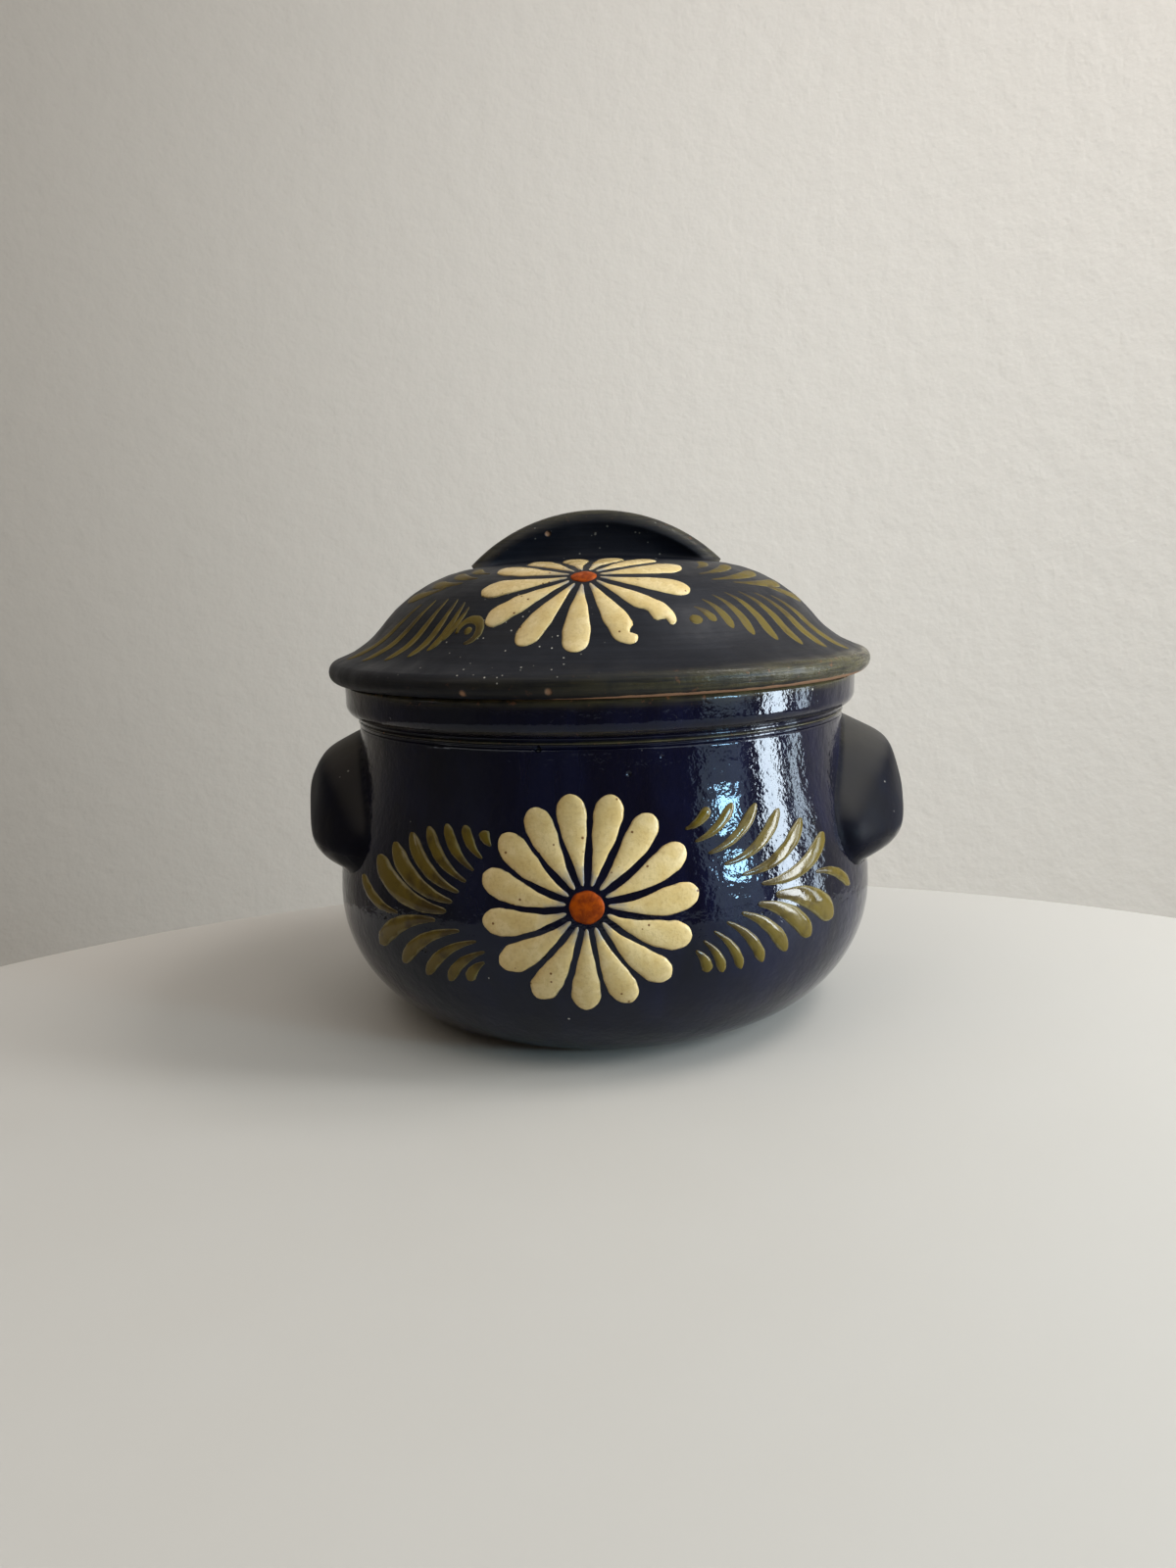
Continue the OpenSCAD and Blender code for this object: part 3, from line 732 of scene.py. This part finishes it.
class Slip:
    """Collects the brush strokes of one node."""

    def __init__(self, body, node, proud, seed):
        self.body = body
        self.node = node
        self.proud = proud
        self.dice = random.Random(seed)
        self.points = []
        self.faces = []
        self.along = []
        self.across = []

    def ribbon(self, middle, half, share, lay, bites=()):
        """One closed pillow of slip along a line of middles with half widths."""
        way = np.gradient(middle, axis=0)
        side = np.stack([-way[:, 1], way[:, 0]], axis=-1)
        side /= np.linalg.norm(side, axis=1, keepdims=True)
        seed = self.dice.random() * WAVER_SEEDS
        wave = [noise.noise((seed, k * WAVER_STEP, 0)) for k in range(len(middle))]
        half = half * (1 + WAVER * np.array(wave))
        w = np.linspace(-1, 1, STROKE_COLUMNS)
        reach = half[:, None] * w
        for along, where, deep, wide in bites:
            eaten = 1 - deep * bump_at(share[1], along, wide)[:, None]
            reach = np.where(w * where > 0, reach * eaten, reach)
        flat = middle[:, None] + side[:, None] * reach[..., None]
        ease = END_HEIGHT + (1 - END_HEIGHT) * np.clip(share[0], 0, 1)
        pillow = (1 - np.abs(w) ** BACK_FLAT) ** BACK_ROUND
        height = (self.proud + STROKE_SUNK) * ease[:, None] * pillow[None, :] - STROKE_SUNK
        top = lay(flat, height)
        under = lay(middle[:, None], np.full((len(middle), 1), -STROKE_ROOTED))
        rings = np.concatenate([top, under], axis=1)
        self.add(rings, np.linspace(0, 1, len(middle)), np.append(w, 0))

    def add(self, rings, t, w):
        """Adds a tube of rings, with places along and across the stroke."""
        start = sum(len(p) for p in self.points)
        self.faces += tube_faces(*rings.shape[:2], start)
        self.points.append(rings.reshape(-1, 3))
        along, across = np.broadcast_arrays(t[:, None], np.abs(w)[None, :])
        self.along.append(along.ravel())
        self.across.append(across.ravel())

    def stroke(self, form, root, tip, width, bow, lay, bites=()):
        """One brush stroke from its root to its tip, bowed to its left."""
        run = tip - root
        length = np.linalg.norm(run)
        side = np.array([-run[1], run[0]]) / length
        t = STROKE_T[:, None]
        middle = root + run * t + side * length * bow * 4 * t * (1 - t)
        share = stroke_share(form, STROKE_T)
        self.ribbon(middle, share * width / 2, (share, STROKE_T), lay, bites)

    def dot(self, diameter, up, lay):
        """A round blob."""
        turn = np.linspace(DOT_END, np.pi - DOT_END, DOT_ROWS)
        middle = np.stack([-np.cos(turn) * diameter / 2, 0 * turn + up], axis=-1)
        self.ribbon(middle, np.sin(turn) * diameter / 2, (np.sin(turn), turn), lay)

    def curl(self, diameter, width, up, lay):
        """A stroke that runs round most of a circle."""
        turn = np.radians(np.linspace(CURL_FROM, CURL_TO, CURL_ROWS))
        middle = np.stack([np.cos(turn), np.sin(turn)], axis=-1) * diameter / 2 + (0, up)
        share = np.sin(np.linspace(CURL_END, np.pi - CURL_END, CURL_ROWS)) ** CURL_SWELL
        self.ribbon(middle, share * width / 2, (share, turn), lay)

    def petals(self, count, diameter, centre, sways, lay, torn):
        """Petals round a centre. Their tips sway up by one angle at the left and one at the right."""
        for i in range(count):
            turn = math.radians(FLOWER_TURN + i * 360 / count)
            sway = sways[0] if math.cos(turn) < 0 else sways[1]
            tip_turn = turn + math.radians(sway) * math.cos(turn)
            root = (centre / 2 + PETAL_GAP) * np.array([math.cos(turn), math.sin(turn)])
            reach = 1 - PETAL_VARY * self.dice.random()
            tip = diameter / 2 * reach * np.array([math.cos(tip_turn), math.sin(tip_turn)])
            bow = -PETAL_BOW * math.cos(turn)
            width = PETAL_W * (1 - 2 * PETAL_VARY * self.dice.random())
            self.stroke(PETAL_FORM, root, tip, width, bow, lay, torn.get(i, ()))

    def finish(self, material):
        """Makes the piece that is shown for the node."""
        values = {"along": np.concatenate(self.along), "across": np.concatenate(self.across)}
        obj = make(self.node + "_slip", np.vstack(self.points), self.faces, values)
        finish_piece(obj, material, self.body, self.node)


def leaf_lean(run):
    return LEAF_BOW * (-1 if run[0] * run[1] > 0 else 1)


def wall_place(side, p):
    """A place on the pot: its distance round the belly, and its height."""
    edge = FLOWER_D / 2 + side * FLOWER_S
    return np.array([side * (edge + p[0] * (LUG_EDGE - edge)), FLOWER_Z + p[1] * FLOWER_D / 2])


def pot_leaf(slip, turn, root, tip, width, lean):
    middle = (root + tip) / 2
    lay = pot_place(middle[0] + turn * BELLY_R, middle[1])
    slip.stroke(LEAF_FORM, root - middle, tip - middle, LEAF_W * POT_LEAF_SPREAD * width, lean, lay)


def pot_leaves(slip, turn):
    for side, count, widths, roots, tips in POT_ROWS:
        lean = leaf_lean(wall_place(side, tips[1]) - wall_place(side, roots[1]))
        for t in np.linspace(0, 1, count):
            root = wall_place(side, on_curve(roots, t))
            tip = wall_place(side, on_curve(tips, t))
            pot_leaf(slip, turn, root, tip, on_curve(widths, t), lean)
    for side, width, root, tip in POT_ENDS:
        start = wall_place(side, root)
        end = wall_place(side, tip)
        pot_leaf(slip, turn, start, end, width, leaf_lean(end - start))


def lid_flat(place, degrees):
    """A place on the lid as flat points round an angle: across in millimetres, and up the slope."""
    up = place[1] * LID_SLOPE
    return np.array([math.radians(place[0] - degrees) * (LID_FLOWER_R - up * LID_LAY), up])


def lid_leaves(slip, turn):
    around = math.degrees(turn)
    for count, widths, roots, tips in LID_ROWS:
        lean = leaf_lean(np.subtract(tips[1], roots[1]))
        for t in np.linspace(0, 1, count):
            root = on_curve(roots, t)
            tip = on_curve(tips, t)
            degrees = (root[0] + tip[0]) / 2
            lay = lid_place(degrees + around)
            width = LEAF_W * LID_LEAF_SPREAD * on_curve(widths, t)
            slip.stroke(LEAF_FORM, lid_flat(root, degrees), lid_flat(tip, degrees), width, lean, lay)
    slip.dot(DOT_D, LID_DOT[1] * LID_SLOPE, lid_place(LID_DOT[0] + around))
    slip.curl(CURL_D, CURL_W, LID_CURL[1] * LID_SLOPE, lid_place(LID_CURL[0] + around))
    slip.dot(CURL_DOT_D, LID_CURL[1] * LID_SLOPE, lid_place(LID_CURL[0] + around))


class Paint:
    """A material's node tree, in which colours cover each other and bumps add up."""

    def __init__(self, name, colour):
        self.material = bpy.data.materials.new(name)
        self.material.use_nodes = True
        self.tree = self.material.node_tree
        self.bsdf = self.tree.nodes["Principled BSDF"]
        self.place = self.node("TexCoord", {}).outputs["Object"]
        self.colour = colour
        self.normal = None

    def put(self, value, socket):
        """Links an output to a socket, or sets the socket to a constant."""
        if isinstance(value, bpy.types.NodeSocket):
            self.tree.links.new(value, socket)
        else:
            socket.default_value = value

    def node(self, kind, inputs, **settings):
        node = self.tree.nodes.new("ShaderNode" + kind)
        for key, value in settings.items():
            setattr(node, key, value)
        for key, value in inputs.items():
            self.put(value, node.inputs[key])
        return node

    def stretched(self, scale):
        return self.node("Mapping", {"Scale": scale, "Vector": self.place}).outputs[0]

    def noise(self, scale, detail=3.0, roughness=0.55, place=None):
        inputs = {"Vector": place or self.place, "Scale": scale, "Detail": detail, "Roughness": roughness}
        return self.node("TexNoise", inputs).outputs[0]

    def cells(self, scale):
        """Distance to the nearest of many scattered points, and that point's random value."""
        cells = self.node("TexVoronoi", {"Vector": self.place, "Scale": scale})
        parts = self.node("SeparateColor", {0: cells.outputs["Color"]})
        return cells.outputs["Distance"], parts.outputs[0]

    def ramp(self, value, low, high, start=0.0, end=1.0):
        inputs = {"Value": value, "From Min": low, "From Max": high, "To Min": start, "To Max": end}
        return self.node("MapRange", inputs, interpolation_type="SMOOTHSTEP").outputs[0]

    def math(self, operation, a, b):
        return self.node("Math", {0: a, 1: b}, operation=operation).outputs[0]

    def times(self, a, b):
        return self.math("MULTIPLY", a, b)

    def plus(self, a, b):
        return self.math("ADD", a, b)

    def minus(self, a, b):
        return self.math("SUBTRACT", a, b)

    def cover(self, share, colour):
        """Covers a share of the colours so far with another one."""
        mix = self.node("Mix", {0: share, 6: self.colour, 7: colour}, data_type="RGBA")
        self.colour = mix.outputs[2]

    def mark(self, name):
        """A value stored on the points of the mesh."""
        return self.node("Attribute", {}, attribute_name=name).outputs["Fac"]

    def specks(self, scale, size, share):
        """Scattered round specks: their size in cells, and the share of the cells that has one."""
        distance, chance = self.cells(scale)
        near = self.ramp(distance, size * 0.6, size, 1.0, 0.0)
        return self.times(near, self.math("LESS_THAN", chance, share))

    def near(self, place, radius):
        """One at a place, falling to nothing at a distance from it."""
        gap = self.node("VectorMath", {0: self.place, 1: place}, operation="DISTANCE")
        return self.ramp(gap.outputs["Value"], radius * 0.4, radius, 1.0, 0.0)

    def near_any(self, places, radius):
        share = self.near(places[0], radius)
        for place in places[1:]:
            share = self.math("MAXIMUM", share, self.near(place, radius))
        return share

    def floor_plan(self):
        """Distances to the right of the middle and behind it, in metres."""
        parts = self.node("SeparateXYZ", {0: self.place})
        return parts.outputs[0], parts.outputs[1]

    def facing_up(self):
        surface = self.node("NewGeometry", {})
        return self.node("SeparateXYZ", {0: surface.outputs["Normal"]}).outputs[2]

    def bump(self, height, depth):
        """Adds a bump whose full height is depth, in metres."""
        inputs = {"Strength": 1.0, "Distance": depth, "Height": height}
        if self.normal:
            inputs["Normal"] = self.normal
        self.normal = self.node("Bump", inputs).outputs[0]

    def done(self, rough, sheen=0.5, tint=(1, 1, 1, 1)):
        """The material, given its roughness, sheen and tint."""
        inputs = self.bsdf.inputs
        inputs["Specular IOR Level"].default_value = sheen
        inputs["Specular Tint"].default_value = tint
        self.put(self.colour, inputs["Base Color"])
        self.put(rough, inputs["Roughness"])
        self.put(self.normal, inputs["Normal"])
        return self.material


def clay_edges(paint):
    """Olive and rust where the glaze is thin, and clay where it is bare. Gives the shares of both."""
    patches = paint.noise(140, 4)
    rings = paint.noise(1.0, 4, 0.6, paint.stretched((40, 40, 900)))
    thin = paint.times(paint.mark("thin"), paint.ramp(rings, 0.30, 0.62, 0.25, 1.0))
    thin = paint.times(thin, paint.ramp(patches, 0.25, 0.6, 0.5, 1.0))
    paint.cover(thin, OLIVE)
    worn = paint.times(paint.mark("thin"), paint.ramp(paint.noise(420, 3), 0.62, 0.74, 0.0, 0.8))
    paint.cover(worn, RUST)
    ragged = paint.plus(paint.mark("bare"), paint.ramp(patches, 0.3, 0.7, -0.3, 0.3))
    bare = paint.ramp(ragged, 0.4, 0.6)
    paint.cover(bare, CLAY)
    return thin, bare


def pot_glaze():
    """Glossy cobalt glaze, nearly black, with runs, an orange-peel surface and a few pits of painted
    shade and glint.
    """
    paint = Paint("pot_glaze_look", NAVY)
    runs = paint.noise(1.0, 3, 0.6, paint.stretched((90, 90, 14)))
    clouds = paint.noise(22, 4, 0.6)
    paint.cover(paint.ramp(runs, 0.3, 0.75), NAVY_LIGHT)
    paint.cover(paint.ramp(clouds, 0.45, 0.75, 0.0, 0.8), BLACK)
    thin, bare = clay_edges(paint)
    # Pits painted black as shade in their hollows, with a painted glint in each core
    pits = paint.math("MAXIMUM", paint.specks(95, 0.13, 0.08), paint.near_any(PITS, PIT_R))
    paint.cover(pits, BLACK)
    paint.cover(paint.near_any(PITS, PIT_R * PIT_CORE), PIT_GLINT)
    paint.cover(paint.specks(150, 0.07, 0.06), DUST)
    rough = paint.ramp(paint.noise(60, 3), 0.3, 0.75, 0.03, 0.09)
    rough = paint.plus(rough, paint.times(thin, 0.15))
    rough = paint.plus(rough, paint.times(bare, 0.6))
    paint.bump(runs, 0.00013)
    paint.bump(paint.noise(60, 3, 0.6), 0.00038)
    paint.bump(paint.noise(190, 3, 0.6), 0.00015)
    paint.bump(paint.noise(620, 2, 0.5), 0.00008)
    paint.bump(paint.minus(1.0, pits), 0.0005)
    return paint.done(rough, POT_SHEEN, COBALT_TINT)


def lug_glaze():
    """The lugs' glaze: glossy on the lower lip, worn satin by hands on the cheek, dusty and with a
    painted sheen on the brow.
    """
    paint = Paint("lug_glaze_look", UMBER)
    clouds = paint.noise(45, 5, 0.6)
    paint.cover(paint.ramp(clouds, 0.3, 0.7), UMBER_LIGHT)
    clay_edges(paint)
    # Up-facing brows lightened: partly dust, partly a painted sheen of the light from above
    paint.cover(paint.ramp(paint.facing_up(), 0.45, 0.95, 0.0, 0.8), BROW_DUST_AND_SHEEN)
    paint.cover(paint.times(paint.specks(300, 0.16, 0.03), 0.4), DUST)
    satin = paint.ramp(clouds, 0.3, 0.7, 0.38, 0.46)
    rough = paint.minus(satin, paint.times(paint.mark("lip"), 0.32))
    paint.bump(paint.noise(60, 3), 0.0003)
    paint.bump(paint.noise(420, 3), 0.00004)
    return paint.done(rough, LUG_SHEEN)


def lid_glaze():
    """The lid's drier glaze, satin and dusty, turned in fine rings, with chips and a scuffed grip."""
    paint = Paint("lid_glaze_look", SLATE)
    clouds = paint.noise(38, 5, 0.6)
    rings = paint.noise(1.0, 3, 0.6, paint.stretched((25, 25, 700)))
    shade = paint.plus(clouds, paint.ramp(rings, 0.3, 0.7, -0.12, 0.12))
    paint.cover(paint.ramp(shade, 0.35, 0.7), SLATE_LIGHT)
    thin, bare = clay_edges(paint)
    dusty = paint.math("MAXIMUM", paint.ramp(clouds, 0.56, 0.70, 0.0, 0.7), paint.near(DUSTY, DUSTY_R))
    dust = paint.times(paint.specks(520, 0.19, 0.22), dusty)
    paint.cover(paint.times(dust, paint.ramp(paint.facing_up(), 0.1, 0.5)), DUST)
    paint.cover(paint.times(paint.specks(640, 0.3, 0.08), paint.near(SCUFFED, SCUFFED_R)), SCUFF)
    chips = paint.near_any(CHIPS, CHIP_R)
    paint.cover(chips, CLAY)
    rough = paint.ramp(paint.noise(85, 4), 0.3, 0.7, 0.38, 0.52)
    rough = paint.minus(rough, paint.times(thin, 0.40))
    rough = paint.plus(rough, paint.times(bare, 0.4))
    paint.bump(rings, 0.00015)
    paint.bump(paint.noise(55, 3), 0.0003)
    paint.bump(paint.times(thin, paint.noise(520, 3)), 0.0005)
    paint.bump(paint.noise(420, 3), 0.00005)
    paint.bump(paint.minus(1.0, chips), 0.0005)
    return paint.done(rough, LID_SHEEN)


def cream_slip():
    """Cream slip that thins to the dark glaze at its edges and roots, with brown specks."""
    paint = Paint("cream_slip_look", CREAM)
    along = paint.mark("along")
    across = paint.mark("across")
    cloud = paint.noise(150, 4)
    paint.cover(paint.ramp(cloud, 0.3, 0.7), CREAM_PALE)
    patchy = paint.ramp(cloud, 0.3, 0.7, -0.35, 0.25)
    root = paint.plus(paint.ramp(along, 0.0, 0.5, 1.0, 0.0), patchy)
    root = paint.times(paint.ramp(root, 0.2, 0.95), paint.ramp(across, 0.0, 0.9, 0.45, 1.0))
    paint.cover(root, CREAM_BLEED)
    edge = paint.plus(across, paint.ramp(paint.noise(380, 3), 0.3, 0.7, -0.10, 0.10))
    paint.cover(paint.ramp(edge, 0.90, 1.04), CREAM_EDGE)
    grain = paint.noise(900, 2, 0.6)
    paint.cover(paint.ramp(grain, 0.45, 0.75, 0.0, 0.4), CREAM_GRAIN)
    paint.cover(paint.specks(430, 0.24, 0.12), BROWN_SPECK)
    paint.bump(grain, 0.00010)
    return paint.done(paint.ramp(cloud, 0.3, 0.7, 0.18, 0.32), SLIP_SHEEN)


def orange_slip():
    """Orange-brown slip of the flowers' middles, darker round the edge."""
    paint = Paint("orange_slip_look", ORANGE)
    grain = paint.noise(420, 4)
    paint.cover(paint.ramp(grain, 0.35, 0.65), ORANGE_DARK)
    paint.cover(paint.ramp(paint.mark("across"), 0.8, 1.0), ORANGE_DARK)
    paint.bump(grain, 0.0003)
    return paint.done(paint.ramp(grain, 0.3, 0.7, 0.4, 0.6), ORANGE_SHEEN)


def green_slip(name, rough, sheen):
    """Olive brush strokes, paler along their edges and dark where the brush left little."""
    paint = Paint(name, LEAF_DARK)
    streaks = paint.noise(190, 4)
    thick = paint.plus(paint.ramp(paint.mark("along"), 0.0, 0.7, -0.2, 0.25), streaks)
    paint.cover(paint.ramp(thick, 0.35, 0.75), LEAF)
    rim = paint.plus(paint.mark("across"), paint.ramp(streaks, 0.3, 0.7, -0.14, 0.14))
    paint.cover(paint.ramp(rim, 0.62, 0.86), LEAF_EDGE)
    paint.bump(paint.noise(240, 3), 0.0001)
    return paint.done(paint.ramp(streaks, 0.3, 0.7, *rough), sheen)


def table_white():
    """The table's smooth paint."""
    paint = Paint("table_white", TABLE_WHITE)
    pale = paint.noise(30, 3)
    paint.cover(paint.ramp(pale, 0.2, 0.8, 0.0, 0.06), TONE)
    paint.bump(pale, 0.00002)
    return paint.done(paint.ramp(pale, 0.2, 0.8, 0.58, 0.64), TABLE_SHEEN)


def wall_white():
    """Pale plaster behind the pot, darkened with painted shade at the left and at the front of the room.
    """
    paint = Paint("wall_white", WALL_WHITE)
    pale = paint.noise(140, 4)
    paint.cover(paint.ramp(pale, 0.2, 0.8, 0.0, 0.06), TONE)
    across, behind = paint.floor_plan()
    left = paint.ramp(across, *DIM_LEFT, 1.0, 0.0)
    front = paint.ramp(behind, *DIM_FRONT, 1.0, 0.0)
    # Painted shade: the wall darkens towards the left and the front
    paint.cover(paint.math("MAXIMUM", left, front), WALL_DIM)
    paint.bump(paint.noise(26, 3), 0.003)
    paint.bump(pale, 0.0006)
    return paint.done(WALL_ROUGH)


def finish_piece(obj, material, body, node):
    obj.data.materials.append(material)
    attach(obj, body)
    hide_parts(node)


def clay_pieces():
    """The thrown and pulled pieces of clay."""
    glaze = pot_glaze()
    handled = lug_glaze()
    dry = lid_glaze()
    pot = lathe("pot_body_glazed", pot_section(), pot_moved, pot_thin, pot_bare)
    finish_piece(pot, glaze, "pot", "pot_body")
    for node, side, reach, cheek_z in LUGS:
        lug = lug_mesh(node + "_glazed", side, reach, cheek_z)
        finish_piece(lug, handled, "pot", node)
    lid = lathe("lid_shell_glazed", lid_section(), lid_moved, lid_thin_lit_right, lid_bare_lit_right)
    finish_piece(lid, dry, "lid", "lid_shell")
    finish_piece(grip_mesh("lid_grip_glazed"), dry, "lid", "lid_grip")


def flower_pieces(body, side, seed, slips, flower, lay, torn):
    """The petals and the centre of one flower."""
    cream, orange = slips
    petals = Slip(body, f"{body}_{side}_petals", PETAL_PROUD, seed)
    petals.petals(*flower, lay, torn)
    petals.finish(cream)
    centre = Slip(body, f"{body}_{side}_centre", CENTRE_PROUD, seed + 1)
    centre.dot(flower[2], 0, lay)
    centre.finish(orange)


def leaf_piece(body, side, seed, green, proud, lay_leaves, turn):
    """The leaves beside one flower."""
    leaves = Slip(body, f"{body}_{side}_leaves", proud, seed)
    lay_leaves(leaves, turn)
    leaves.finish(green)


def slip_pieces(slips, greens, side, turn, seed, torn):
    """The six painted pieces of one side, turned round the axis."""
    pot_at = pot_place(FLOWER_S + turn * BELLY_R, FLOWER_Z)
    lid_at = lid_place(LID_FLOWER_AZ + math.degrees(turn))
    flower_pieces("pot", side, seed, slips, POT_FLOWER, pot_at, {})
    leaf_piece("pot", side, seed + 2, greens[0], LEAF_PROUD, pot_leaves, turn)
    flower_pieces("lid", side, seed + 3, slips, LID_FLOWER, lid_at, torn)
    leaf_piece("lid", side, seed + 5, greens[1], LID_LEAF_PROUD, lid_leaves, turn)


# The camera that took the photo: its place in metres and its angles in radians
CAMERA_AT = (0.0, -0.4727, 0.1716)
CAMERA_DOWN = 0.1825
CAMERA_ROLL = -0.0288
CAMERA_YAW = -0.012
CAMERA_LENS = 36.0
CAMERA_SENSOR = 36.0


def camera():
    data = bpy.data.cameras.new("camera")
    data.sensor_fit = "HORIZONTAL"
    data.sensor_width = CAMERA_SENSOR
    data.lens = CAMERA_LENS
    obj = placed("camera", data)
    yaw = Matrix.Rotation(-CAMERA_YAW, 4, "Z")
    tilt = Matrix.Rotation(math.pi / 2 - CAMERA_DOWN, 4, "X")
    roll = Matrix.Rotation(CAMERA_ROLL, 4, "Z")
    obj.matrix_world = yaw @ tilt @ roll
    obj.location = CAMERA_AT
    bpy.context.scene.camera = obj


# The round white table, in metres
TABLE_R = 0.42
TABLE_C = (0.013, -0.262)
TABLE_T = 0.018
TABLE_EDGE = 0.004
TABLE_SIDES = 256
TABLE_EDGE_STEPS = 4
# The wall runs round the whole room, down to a floor below the table
WALL_R = 1.5
WALL_LOW = -0.75
WALL_HIGH = 2.1
WALL_STEPS = 480
# Where the wall turns from dim to pale, from the left and from the front
DIM_LEFT = (-1.9, 0.5)
DIM_FRONT = (-1.3, 0.4)
# Where most lamps point, and the dim light from all sides
MIDDLE = (0, 0, 0.08)
ROOM_COLOUR = (0.80, 0.82, 0.86, 1)
ROOM_STRENGTH = 0.05


def table_mesh():
    """A round board with a rounded rim."""
    bm = bmesh.new()
    place = Matrix.Translation((TABLE_C[0], TABLE_C[1], -TABLE_T / 2))
    size = {"radius1": TABLE_R, "radius2": TABLE_R, "depth": TABLE_T}
    bmesh.ops.create_cone(bm, cap_ends=True, segments=TABLE_SIDES, matrix=place, **size)
    rims = [e for e in bm.edges if e.calc_face_angle() > 1]
    edge = {"offset": TABLE_EDGE, "segments": TABLE_EDGE_STEPS, "profile": 0.5}
    bmesh.ops.bevel(bm, geom=rims, affect="EDGES", **edge)
    mesh = bpy.data.meshes.new("floor")
    bm.to_mesh(mesh)
    bm.free()
    return mesh


def wall_mesh():
    """A round wall of flat panes on a flat bottom."""
    turns = np.linspace(0, 2 * math.pi, WALL_STEPS, endpoint=False)
    ring = [(WALL_R * math.sin(a), -WALL_R * math.cos(a)) for a in turns]
    corners = [(x, y, z) for z in (WALL_LOW, WALL_HIGH) for x, y in ring]
    panes = [tuple(range(WALL_STEPS))] + ring_faces(2, WALL_STEPS)
    mesh = bpy.data.meshes.new("backdrop")
    mesh.from_pydata(corners, [], panes)
    return mesh


def stage():
    floor = placed("floor", table_mesh())
    wall = placed("backdrop", wall_mesh())
    floor.data.materials.append(table_white())
    wall.data.materials.append(wall_white())


def lamp(name, place, size, power, colour, target=MIDDLE):
    """A rectangular soft light that faces a target, in metres and watts."""
    data = bpy.data.lights.new(name, "AREA")
    data.shape = "RECTANGLE"
    data.size, data.size_y = size
    data.energy = power
    data.color = colour
    obj = placed(name, data)
    obj.location = place
    way = Vector(target) - Vector(place)
    obj.rotation_euler = way.to_track_quat("-Z", "Y").to_euler()


def around(degrees, distance, height):
    """A place in the room, at an angle from the front to the right."""
    a = math.radians(degrees)
    return (distance * math.sin(a), -distance * math.cos(a), height)


def lights():
    lamp("key", around(42, 1.2, 1.3), (0.8, 0.8), 3.5, (1.0, 0.98, 0.95))
    lamp("window", around(78, 1.2, 0.28), (0.23, 0.84), 17.0, (0.92, 0.98, 1.0))
    lamp("window_strip", around(94, 1.2, 0.28), (0.11, 0.84), 2.9, (0.80, 0.92, 1.0))
    lamp("window_dim", around(54, 1.2, 0.40), (0.50, 1.0), 2.6, (0.78, 0.91, 1.0))
    lamp("sky", around(54, 1.1, 0.27), (0.16, 0.14), 4.2, (0.50, 0.82, 1.0))
    lamp("hall", around(-78, 1.3, 0.75), (0.07, 0.5), 0.4, (1.0, 0.96, 0.9))
    lamp("hall_glow", (-1.0, -0.6, 1.35), (1.3, 1.3), 6.5, (1.0, 0.92, 0.80))
    lamp("ceiling", (0.0, -0.1, 2.2), (2.8, 2.8), 20.5, (1.0, 0.98, 0.96))
    lamp("wall_wash", (1.0, 0.0, 1.5), (0.7, 0.7), 16.5, (1.0, 0.97, 0.94), (1.0, 1.1, -0.4))
    world = bpy.data.worlds.new("room")
    world.use_nodes = True
    back = world.node_tree.nodes["Background"]
    back.inputs["Color"].default_value = ROOM_COLOUR
    back.inputs["Strength"].default_value = ROOM_STRENGTH
    bpy.context.scene.world = world


camera()
stage()
lights()
clay_pieces()
slips = (cream_slip(), orange_slip())
pot_green = green_slip("green_slip_look", POT_LEAF_ROUGH, SLIP_SHEEN)
lid_green = green_slip("lid_green_slip_look", LID_LEAF_ROUGH, LID_SHEEN)
slip_pieces(slips, (pot_green, lid_green), "front", 0.0, FRONT_SEED, TORN)
slip_pieces(slips, (pot_green, lid_green), "back", math.pi, BACK_SEED, {})

bpy.context.scene.view_settings.view_transform = "Standard"
